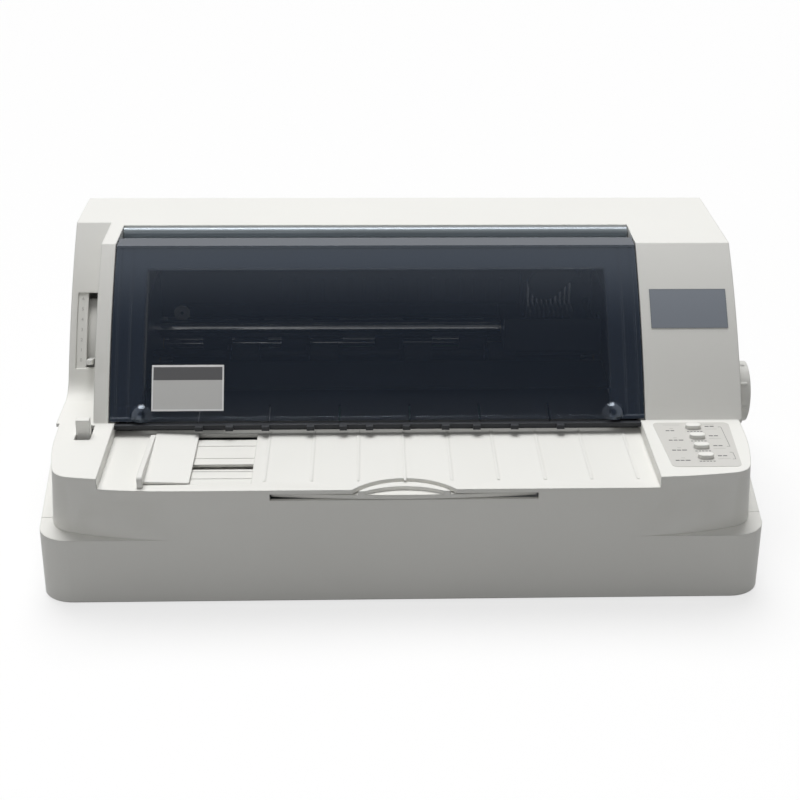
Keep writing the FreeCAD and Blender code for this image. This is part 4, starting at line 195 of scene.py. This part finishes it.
CASE_RGB = (0.80, 0.795, 0.757)
MATT = {"Specular IOR Level": 0.35}
LOOKS = {
    "casing": surface("casing", CASE_RGB, 0.48, bevel=1.6, edge=0.15, flush_seam=True, **MATT),
    # Its strongly paler edges are partly wear and partly a painted highlight on its ribs, slits and
    # fins.
    "black_plastic": surface(
        "black_plastic", (0.014, 0.016, 0.02), 0.4, variation=0.2, bump=0.03, edge=0.5, **MATT
    ),
    "rubber_black": surface("rubber_black", (0.02, 0.02, 0.021), 0.7, variation=0.2, bump=0.3),
    "sheet_steel": surface("sheet_steel", (0.42, 0.43, 0.45), 0.35, grain=500, Metallic=1.0),
    "shaft_steel": surface("shaft_steel", (0.78, 0.79, 0.8), 0.12, bump=0.03, bevel=0.3, Metallic=1.0),
    "gear_plastic": surface("gear_plastic", (0.74, 0.72, 0.64), 0.4, bevel=0.2, edge=0.2),
    "brass": surface("brass", (0.68, 0.5, 0.22), 0.3, bevel=0.2, Metallic=1.0),
    "aluminium": surface("aluminium", (0.75, 0.77, 0.8), 0.38, bevel=0.3, Metallic=1.0),
    "motor_metal": surface("motor_metal", (0.12, 0.12, 0.13), 0.4, bevel=1.0, Metallic=0.4),
    "circuit_board": surface("circuit_board", (0.03, 0.16, 0.07), 0.35, variation=0.2),
    "panel_film": surface("panel_film", (0.62, 0.61, 0.58), 0.4, bevel=0.0, bump=0.08),
    "white_plastic": surface("white_plastic", (0.85, 0.85, 0.82), 0.32, bevel=0.8),
}
# Dark print on the panel; the same dark is painted shade in the slots of the case screws.
DARK_PRINT_AND_SHADE = surface("dark_print_and_shade", (0.09, 0.09, 0.1), 0.5, bevel=0.0)
PRINT_GREY = surface("print_grey", (0.13, 0.13, 0.13), 0.5, bevel=0.0)
PRINT_PALE = surface("print_pale", (0.52, 0.515, 0.49), 0.5, bevel=0.0)


def smoked_plastic():
    """Dark glossy plastic: clear in its window, dense at its border, with a highlight painted on its
    hinge tube as a paler colour.
    """
    material, tree, shader, add = new_material("smoked_cover")
    link = tree.links.new
    coords = add("ShaderNodeTexCoord")
    noise = add("ShaderNodeTexNoise", Scale=14.0, Detail=2.0)
    link(coords.outputs["Object"], noise.inputs["Vector"])
    split = add("ShaderNodeSeparateXYZ")
    link(coords.outputs["Object"], split.inputs["Vector"])
    clear_x = stepped(add, link, split.outputs["X"], *CLEAR_X, CLEAR_SOFT)
    clear_z = stepped(add, link, split.outputs["Z"], *CLEAR_Z, CLEAR_SOFT)
    clear = add("ShaderNodeMath", operation="MULTIPLY")
    link(clear_x, clear.inputs[0])
    link(clear_z, clear.inputs[1])
    dense = add("ShaderNodeMapRange")
    set_inputs(dense, {"To Min": BORDER_ALPHA, "To Max": WINDOW_ALPHA})
    link(clear.outputs[0], dense.inputs["Value"])
    link(dense.outputs["Result"], shader.inputs["Alpha"])
    # Painted highlight: from the tube's start backwards the base colour turns paler.
    tube_highlight = add("ShaderNodeMapRange")
    set_inputs(tube_highlight, {"From Min": TUBE_HIGHLIGHT_Y[0], "From Max": TUBE_HIGHLIGHT_Y[1], "To Max": TUBE_HIGHLIGHT_SHARE})
    link(split.outputs["Y"], tube_highlight.inputs["Value"])
    tone = add("ShaderNodeMix", data_type="RGBA")
    tone.inputs["A"].default_value = (*SMOKE_TONES[0], 1)
    tone.inputs["B"].default_value = (*SMOKE_TONES[1], 1)
    link(noise.outputs["Fac"], tone.inputs["Factor"])
    whole = add("ShaderNodeMix", data_type="RGBA")
    whole.inputs["B"].default_value = (*TUBE_HIGHLIGHT_RGB, 1)
    link(tone.outputs["Result"], whole.inputs["A"])
    link(tube_highlight.outputs["Result"], whole.inputs["Factor"])
    link(whole.outputs["Result"], shader.inputs["Base Color"])
    gloss = add("ShaderNodeMapRange")
    set_inputs(gloss, {"To Min": SMOKE_ROUGH[0], "To Max": SMOKE_ROUGH[1]})
    link(noise.outputs["Fac"], gloss.inputs["Value"])
    link(gloss.outputs["Result"], shader.inputs["Roughness"])
    soft = add("ShaderNodeBevel", samples=4)
    soft.inputs["Radius"].default_value = SMOKE_BEVEL
    link(soft.outputs["Normal"], shader.inputs["Normal"])
    set_inputs(shader, {"Specular IOR Level": 1.0, "Specular Tint": (*SMOKE_GLINT, 1)})
    return material


def stepped(add, link, value, low, high, soft=SHARP):
    """1 where the value lies between low and high, else 0, with an edge as soft as given."""
    above = add("ShaderNodeMapRange")
    set_inputs(above, {"From Min": low - soft, "From Max": low + soft})
    below = add("ShaderNodeMapRange")
    set_inputs(below, {"From Min": high + soft, "From Max": high - soft})
    both = add("ShaderNodeMath", operation="MULTIPLY")
    for node in (above, below):
        link(value, node.inputs["Value"])
    link(above.outputs["Result"], both.inputs[0])
    link(below.outputs["Result"], both.inputs[1])
    return both.outputs[0]


def bare_label(name, node, border, band, tones, rough):
    """A label with a border and a darker band at its top, laid out in the piece's own coordinates."""
    low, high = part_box(node)
    material, tree, shader, add = new_material(name)
    link = tree.links.new
    coords = add("ShaderNodeTexCoord")
    split = add("ShaderNodeSeparateXYZ")
    link(coords.outputs["Object"], split.inputs["Vector"])
    inside_x = stepped(add, link, split.outputs["X"], low.x + border, high.x - border)
    inside_z = stepped(add, link, split.outputs["Z"], low.z + border, high.z - border)
    inside = add("ShaderNodeMath", operation="MULTIPLY")
    link(inside_x, inside.inputs[0])
    link(inside_z, inside.inputs[1])
    top = stepped(add, link, split.outputs["Z"], high.z - border - band, high.z)
    noise = add("ShaderNodeTexNoise", Scale=700.0, Detail=2.0)
    link(coords.outputs["Object"], noise.inputs["Vector"])
    field = add("ShaderNodeMix", data_type="RGBA")
    field.inputs["A"].default_value = shade(tones[1], 1)
    field.inputs["B"].default_value = shade(tones[2], 1)
    link(top, field.inputs["Factor"])
    whole = add("ShaderNodeMix", data_type="RGBA")
    whole.inputs["A"].default_value = shade(tones[0], 1)
    link(inside.outputs[0], whole.inputs["Factor"])
    link(field.outputs["Result"], whole.inputs["B"])
    link(whole.outputs["Result"], shader.inputs["Base Color"])
    gloss = add("ShaderNodeMapRange")
    set_inputs(gloss, {"To Min": rough * ROUGH_SWING[0], "To Max": rough * ROUGH_SWING[1]})
    link(noise.outputs["Fac"], gloss.inputs["Value"])
    link(gloss.outputs["Result"], shader.inputs["Roughness"])
    height = add("ShaderNodeBump", Strength=0.08, Distance=0.0001)
    link(noise.outputs["Fac"], height.inputs["Height"])
    link(height.outputs["Normal"], shader.inputs["Normal"])
    return material


LOOKS["smoked_cover"] = smoked_plastic()
LABEL_TONES = ((0.9, 0.9, 0.9), (0.62, 0.62, 0.61), (0.12, 0.12, 0.125))
LOOKS["label"] = bare_label("label", "cover_label", LABEL_BORDER, LABEL_BAND, LABEL_TONES, 0.4)
PLATE_TONES = ((0.2, 0.22, 0.245), (0.235, 0.26, 0.3), (0.235, 0.26, 0.3))
LOOKS["plate_grey"] = bare_label("plate_grey", "name_plate", PLATE_BORDER, 0, PLATE_TONES, 0.35)


def dress_nodes():
    """Gives each CAD node the material of its slot in the record."""
    for part in frame["record"]["subparts"]:
        mesh = frame["nodes"][part["node"]].data
        mesh.materials.clear()
        mesh.materials.append(LOOKS[part["material_slot"]])


def piece(name, vertices, faces, material, body="base"):
    """A mesh piece that rides on a body."""
    mesh = bpy.data.meshes.new(name)
    mesh.from_pydata(vertices, [], faces)
    mesh.update()
    made = bpy.data.objects.new(name, mesh)
    bpy.context.scene.collection.objects.link(made)
    mesh.materials.append(material)
    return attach(made, body)


def slab(name, low, high, material):
    """A box piece on the base between two corners given in millimetres."""
    xs, ys, zs = [(a * MM, b * MM) for a, b in zip(low, high)]
    vertices = [(x, y, z) for x in xs for y in ys for z in zs]
    faces = [(0, 1, 3, 2), (4, 6, 7, 5), (0, 4, 5, 1), (2, 3, 7, 6), (0, 2, 6, 4), (1, 5, 7, 3)]
    return piece(name, vertices, faces, material, "base")


dress_nodes()


# Marks on the control panel, in millimetres. Each row belongs to one button.
PRINT_THICK = 0.1
PANEL_ROWS = (-107.0, -125.5, -144.5, -163.5)
BAR_GAP = 0.9
BAR_DEPTH = 1.5
NAME_X = 224.5
NAME_SHIFT = 0.5
NAME_WIDTHS = (3.2, 3.2, 4.0)
FIRST_NAME_BARS = 2
LAMP_X = (228.5, 231.5)
LAMP_RISE = (4.6, 6.0)
NOTE_X = 259.5
NOTE_RISE = 8.0
NOTE_WIDTHS = (3.4, 3.4)
RULE_X = (258.5, 269.0)
RULE_RISE = (3.4, 3.8)
KEY_X = 242.5
KEY_DROP = 1.6
KEY_DEPTH = 1.0
KEY_WIDTHS = (1.9,) * 5
TOP_LINE_Y = (-95.2, -94.8)
TOP_LINE_X = (224, 238)
NOTE_LINE_X = (256, 268)
BRACKET_X = (270.6, 273.0)
BRACKET_WIDTH = 0.35
BRACKETS_Y = ((-137.5, -99.5), (-161.0, -148.5))


def panel_print():
    """Printed marks on the control panel: short bars, small lamp windows and thin lines, no words."""
    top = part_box("panel_overlay")[1].z / MM

    def mark(name, x, y, material):
        slab(name, (x[0], y[0], top), (x[1], y[1], top + PRINT_THICK), material)

    def bars(name, x, y, widths, depth, material):
        for n, width in enumerate(widths):
            mark(f"{name}_{n}", (x, x + width), (y, y + depth), material)
            x += width + BAR_GAP

    for n, y in enumerate(PANEL_ROWS):
        widths = NAME_WIDTHS if n else NAME_WIDTHS[:FIRST_NAME_BARS]
        bars(f"panel_name_{n}", NAME_X - n * NAME_SHIFT, y, widths, BAR_DEPTH, PRINT_GREY)
        mark(f"panel_lamp_{n}", LAMP_X, [y + rise for rise in LAMP_RISE], PRINT_PALE)
        bars(f"panel_note_{n}", NOTE_X, y + NOTE_RISE, NOTE_WIDTHS, BAR_DEPTH, PRINT_GREY)
        mark(f"panel_rule_{n}", RULE_X, [y + rise for rise in RULE_RISE], PRINT_PALE)
        bars(f"panel_key_{n}", KEY_X, y - KEY_DROP, KEY_WIDTHS, KEY_DEPTH, DARK_PRINT_AND_SHADE)
    mark("panel_line_top", TOP_LINE_X, TOP_LINE_Y, PRINT_PALE)
    mark("panel_line_note", NOTE_LINE_X, TOP_LINE_Y, PRINT_PALE)
    for n, (low, high) in enumerate(BRACKETS_Y):
        upright = (BRACKET_X[1], BRACKET_X[1] + BRACKET_WIDTH)
        mark(f"panel_bracket_{n}", upright, (low, high), PRINT_GREY)
        for end, y in (("low", low), ("high", high)):
            mark(f"panel_bracket_{n}_{end}", BRACKET_X, (y, y + BRACKET_WIDTH), PRINT_GREY)


# The scale beside the paper thickness lever, on the curved face of the left tower, in millimetres.
SCALE_Z = (139.0, 184.0)
SCALE_X = -284.6
SCALE_COUNT = 7
TOWER_FACE_Y = 384.04
TOWER_FACE_Z = -130.5
TOWER_FACE_RADIUS = 474.57
SCALE_DEPTH = 1.2
DIGIT_SIZE = 4.2
DIGIT_THICK = 0.12
DIGIT_LIFT = 0.1


def lever_scale():
    """Plain numbers up the scale beside the paper thickness lever."""
    low, high = SCALE_Z
    centre = Vector((0, TOWER_FACE_Y * MM, TOWER_FACE_Z * MM))
    radius = (TOWER_FACE_RADIUS - SCALE_DEPTH) * MM
    right = Vector((1, 0, 0))
    for n in range(SCALE_COUNT):
        z = (low + (high - low) * n / (SCALE_COUNT - 1)) * MM
        y = centre.y - math.sqrt(radius**2 - (z - centre.z) ** 2)
        normal = Vector((0, y - centre.y, z - centre.z)).normalized()
        text = bpy.data.curves.new(f"scale_number_{n}", "FONT")
        text.body = str(n)
        text.size = DIGIT_SIZE * MM
        text.extrude = DIGIT_THICK * MM
        text.align_x = "CENTER"
        text.align_y = "CENTER"
        made = bpy.data.objects.new(f"scale_number_{n}", text)
        bpy.context.scene.collection.objects.link(made)
        text.materials.append(PRINT_PALE)
        turn = Matrix((right, normal.cross(right), normal)).transposed().to_4x4()
        place = Vector((SCALE_X * MM, y, z)) + normal * DIGIT_LIFT * MM
        made.matrix_world = Matrix.Translation(place) @ turn
        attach(made, "base")


# The lever's shield, the slots of the case screws, drawn as painted shade, and the pins of the inlet, in
# millimetres and degrees.
LEVER_PIVOT = (76.0, 113.0)
SHIELD_X = (-281.3, -270.7)
SHIELD_RADII = (75.0, 76.6)
SHIELD_START = 118.0
SHIELD_SWEEP = 90.0
SHIELD_STEPS = 36
SCREWS_X = (-287.0, -205.0, 0.0, 287.0)
SCREWS_Z = 30.0
SLOT_HALF_LENGTH = 1.9
SLOT_HALF_WIDTH = 0.4
SLOT_THICK = 0.05
PIN_PLACES = ((-272.2, 28.5), (-261.2, 28.5), (-266.7, 33.0))
PIN_HALF_WIDTH = 1.0
PIN_HALF_HEIGHT = 2.0
PIN_Y = (170.5, 184.0)


def lever_shield():
    """The curved shield on the paper thickness lever that closes its slot from behind."""
    vertices, faces = [], []
    ring = len(SHIELD_RADII) * len(SHIELD_X)
    for n in range(SHIELD_STEPS + 1):
        angle = math.radians(SHIELD_START + SHIELD_SWEEP * n / SHIELD_STEPS)
        for radius in SHIELD_RADII:
            y = LEVER_PIVOT[0] + radius * math.cos(angle)
            z = LEVER_PIVOT[1] + radius * math.sin(angle)
            vertices += [(x * MM, y * MM, z * MM) for x in SHIELD_X]
    for n in range(SHIELD_STEPS):
        a, b = n * ring, (n + 1) * ring
        for i, j in ((0, 1), (1, 3), (3, 2), (2, 0)):
            faces.append((a + i, a + j, b + j, b + i))
    last = SHIELD_STEPS * ring
    faces += [(0, 2, 3, 1), (last, last + 1, last + 3, last + 2)]
    piece("lever_shield", vertices, faces, LOOKS["casing"], "thickness_lever")


def screw_slots():
    """A cross slot in each case screw, drawn as thin dark slabs on its face: painted shade where a
    groove would be.
    """
    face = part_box("case_screws")[1].y / MM
    y = (face, face + SLOT_THICK)
    for n, x in enumerate(SCREWS_X):
        for end, across, up in (
            ("a", SLOT_HALF_LENGTH, SLOT_HALF_WIDTH),
            ("b", SLOT_HALF_WIDTH, SLOT_HALF_LENGTH),
        ):
            low = (x - across, y[0], SCREWS_Z - up)
            high = (x + across, y[1], SCREWS_Z + up)
            # Painted shade: a dark slab stands where the slot's groove would be.
            slab(f"screw_slot_{n}_{end}", low, high, DARK_PRINT_AND_SHADE)


def inlet_pins():
    """The three flat pins of the mains inlet."""
    for n, (x, z) in enumerate(PIN_PLACES):
        low = (x - PIN_HALF_WIDTH, PIN_Y[0], z - PIN_HALF_HEIGHT)
        high = (x + PIN_HALF_WIDTH, PIN_Y[1], z + PIN_HALF_HEIGHT)
        slab(f"inlet_pin_{n}", low, high, LOOKS["sheet_steel"])


# The trough under the track, in millimetres.
TROUGH_X = (-214.0, -113.0)
TROUGH_Y = (-180.0, -97.0)
TROUGH_Z = (93.2, 100.6)
TROUGH_WALL = 1.2


def track_trough():
    """The pale trough moulded under the slots of the edge guide's track."""
    (left, right), (front, back), (low, high) = TROUGH_X, TROUGH_Y, TROUGH_Z
    walls = (
        ((left, front, low), (right, back, low + TROUGH_WALL)),
        ((left, front, low), (left + TROUGH_WALL, back, high)),
        ((right - TROUGH_WALL, front, low), (right, back, high)),
        ((left, front, low), (right, front + TROUGH_WALL, high)),
        ((left, back - TROUGH_WALL, low), (right, back, high)),
    )
    for n, (near, far) in enumerate(walls):
        slab(f"track_trough_{n}", near, far, LOOKS["casing"])


panel_print()
lever_scale()
lever_shield()
track_trough()
screw_slots()
inlet_pins()


def light_sees(tree, rays):
    """1 for the kinds of ray named, else 0."""
    path = tree.nodes.new("ShaderNodeLightPath")
    seen = path.outputs[rays[0]]
    for ray in rays[1:]:
        either = tree.nodes.new("ShaderNodeMath")
        either.operation = "MAXIMUM"
        tree.links.new(seen, either.inputs[0])
        tree.links.new(path.outputs[ray], either.inputs[1])
        seen = either.outputs[0]
    return seen


# The rays that see the surroundings and the floor as white, and the strength that is white.
SEEN_RAYS = ("Is Camera Ray", "Is Glossy Ray", "Is Transmission Ray")
WHITE = 1.0

# The floor: its size, its own colour, and what those rays see, part plain white and part glow.
FLOOR_SIZE = 40
FLOOR_RGB = (0.33, 0.33, 0.328)
FLOOR_ROUGH = (0.8, 0.95)
FLOOR_SEEN_RGB = (0.97, 0.97, 0.97)
FLOOR_GLOW_SHARE = 0.72

# The surroundings: their strength as light, and the patch that is dimmer in gloss. The patch has a
# direction, the cosines of the angle from it where it starts and is whole, and what it takes away.
WORLD_STRENGTH = 0.24
DIM_TOWARD = (0, -0.755, 0.656)
DIM_EDGE = (0.76, 0.95)
DIM_DEPTH = 0.75


def stage():
    """A pale floor that shows white to the camera and keeps the printer's shadow."""
    bpy.ops.mesh.primitive_plane_add(size=FLOOR_SIZE, location=(0, 0, 0))
    floor = bpy.context.object
    floor.name = "floor"
    material, tree, shader, add = new_material("floor")
    link = tree.links.new
    coords = add("ShaderNodeTexCoord")
    noise = add("ShaderNodeTexNoise", Scale=3.0)
    link(coords.outputs["Object"], noise.inputs["Vector"])
    gloss = add("ShaderNodeMapRange")
    set_inputs(gloss, {"To Min": FLOOR_ROUGH[0], "To Max": FLOOR_ROUGH[1]})
    link(noise.outputs["Fac"], gloss.inputs["Value"])
    link(gloss.outputs["Result"], shader.inputs["Roughness"])
    set_inputs(shader, {"Base Color": (*FLOOR_RGB, 1), "Specular IOR Level": 0.0})
    white = add("ShaderNodeBsdfDiffuse", Color=(*FLOOR_SEEN_RGB, 1))
    glow = add("ShaderNodeEmission", Color=(1, 1, 1, 1), Strength=WHITE)
    shown = add("ShaderNodeMixShader")
    shown.inputs[0].default_value = FLOOR_GLOW_SHARE
    link(white.outputs[0], shown.inputs[1])
    link(glow.outputs[0], shown.inputs[2])
    either = add("ShaderNodeMixShader")
    link(light_sees(tree, SEEN_RAYS), either.inputs[0])
    link(shader.outputs[0], either.inputs[1])
    link(shown.outputs[0], either.inputs[2])
    link(either.outputs[0], tree.nodes["Material Output"].inputs["Surface"])
    floor.data.materials.append(material)


def world_light():
    """Soft white surroundings: white to the camera, in gloss and through clear pieces, dim as light.

    Gloss meets a dimmer patch in front and above, as in a studio whose front is not lit.
    """
    world = bpy.data.worlds.new("studio")
    bpy.context.scene.world = world
    world.use_nodes = True
    tree = world.node_tree
    link = tree.links.new
    background = tree.nodes["Background"]
    background.inputs["Color"].default_value = (1, 1, 1, 1)
    strength = tree.nodes.new("ShaderNodeMapRange")
    set_inputs(strength, {"To Min": WORLD_STRENGTH, "To Max": WHITE})
    link(light_sees(tree, SEEN_RAYS), strength.inputs["Value"])
    coords = tree.nodes.new("ShaderNodeTexCoord")
    toward = tree.nodes.new("ShaderNodeVectorMath")
    toward.operation = "DOT_PRODUCT"
    toward.inputs[1].default_value = DIM_TOWARD
    link(coords.outputs["Generated"], toward.inputs[0])
    patch = tree.nodes.new("ShaderNodeMapRange")
    patch.interpolation_type = "SMOOTHSTEP"
    set_inputs(patch, {"From Min": DIM_EDGE[0], "From Max": DIM_EDGE[1], "To Max": DIM_DEPTH})
    link(toward.outputs["Value"], patch.inputs["Value"])
    dim = tree.nodes.new("ShaderNodeMath")
    dim.operation = "MULTIPLY"
    link(patch.outputs["Result"], dim.inputs[0])
    link(light_sees(tree, ("Is Glossy Ray",)), dim.inputs[1])
    left = tree.nodes.new("ShaderNodeMath")
    left.operation = "SUBTRACT"
    link(strength.outputs["Result"], left.inputs[0])
    link(dim.outputs[0], left.inputs[1])
    link(left.outputs[0], background.inputs["Strength"])


# The main light travels down and to the front, and a weak lamp fills in from the front.
SUN_TOWARD = (0.08, -0.42, -0.9)
SUN_STRENGTH = 2.6
SUN_ANGLE = 38
FILL_PLACE = (-0.9, -2.2, 0.9)
FILL_AIM = (0, 0, 0.12)
FILL_SIZE = (1.6, 1.2)
FILL_POWER = 5


def sun(name, toward, strength, angle):
    """A distant light that travels toward a direction, as wide as the angle in degrees."""
    data = bpy.data.lights.new(name, "SUN")
    data.energy = strength
    data.angle = math.radians(angle)
    made = bpy.data.objects.new(name, data)
    bpy.context.scene.collection.objects.link(made)
    made.rotation_euler = Vector(toward).to_track_quat("-Z", "Y").to_euler()


def lamp(name, place, aim, size, power):
    """A flat lamp at a place, aimed at a point."""
    data = bpy.data.lights.new(name, "AREA")
    data.shape = "RECTANGLE"
    data.size, data.size_y = size
    data.energy = power
    made = bpy.data.objects.new(name, data)
    bpy.context.scene.collection.objects.link(made)
    made.location = place
    made.rotation_euler = (Vector(aim) - Vector(place)).to_track_quat("-Z", "Y").to_euler()


# The photograph's camera, fitted to the edges of the case: turns in degrees, place in metres.
CAMERA_PLACE = (-0.028, -1.3192, 0.694)
CAMERA_PITCH = 24.38
CAMERA_YAW = 2.302
CAMERA_ROLL = -0.627
LENS = 71.4
SENSOR_WIDTH = 36
LENS_SHIFT = -0.034


def camera():
    """The photograph's view: a long lens from the front, above and a little to the left."""
    pitch, yaw, roll = (math.radians(a) for a in (CAMERA_PITCH, CAMERA_YAW, CAMERA_ROLL))
    ahead = Vector((math.sin(yaw) * math.cos(pitch), math.cos(yaw) * math.cos(pitch), -math.sin(pitch)))
    right = Vector((math.cos(yaw), -math.sin(yaw), 0))
    down = ahead.cross(right)
    turned = right * math.cos(roll) + down * math.sin(roll)
    lower = down * math.cos(roll) - right * math.sin(roll)
    data = bpy.data.cameras.new("camera")
    data.lens = LENS
    data.sensor_width = SENSOR_WIDTH
    data.shift_x = LENS_SHIFT
    made = bpy.data.objects.new("camera", data)
    bpy.context.scene.collection.objects.link(made)
    axes = Matrix((turned, -lower, -ahead)).transposed().to_4x4()
    made.matrix_world = Matrix.Translation(Vector(CAMERA_PLACE)) @ axes
    bpy.context.scene.camera = made


stage()
world_light()
sun("top_light", SUN_TOWARD, SUN_STRENGTH, SUN_ANGLE)
lamp("front_fill", FILL_PLACE, FILL_AIM, FILL_SIZE, FILL_POWER)
camera()
bpy.context.scene.view_settings.view_transform = "Standard"
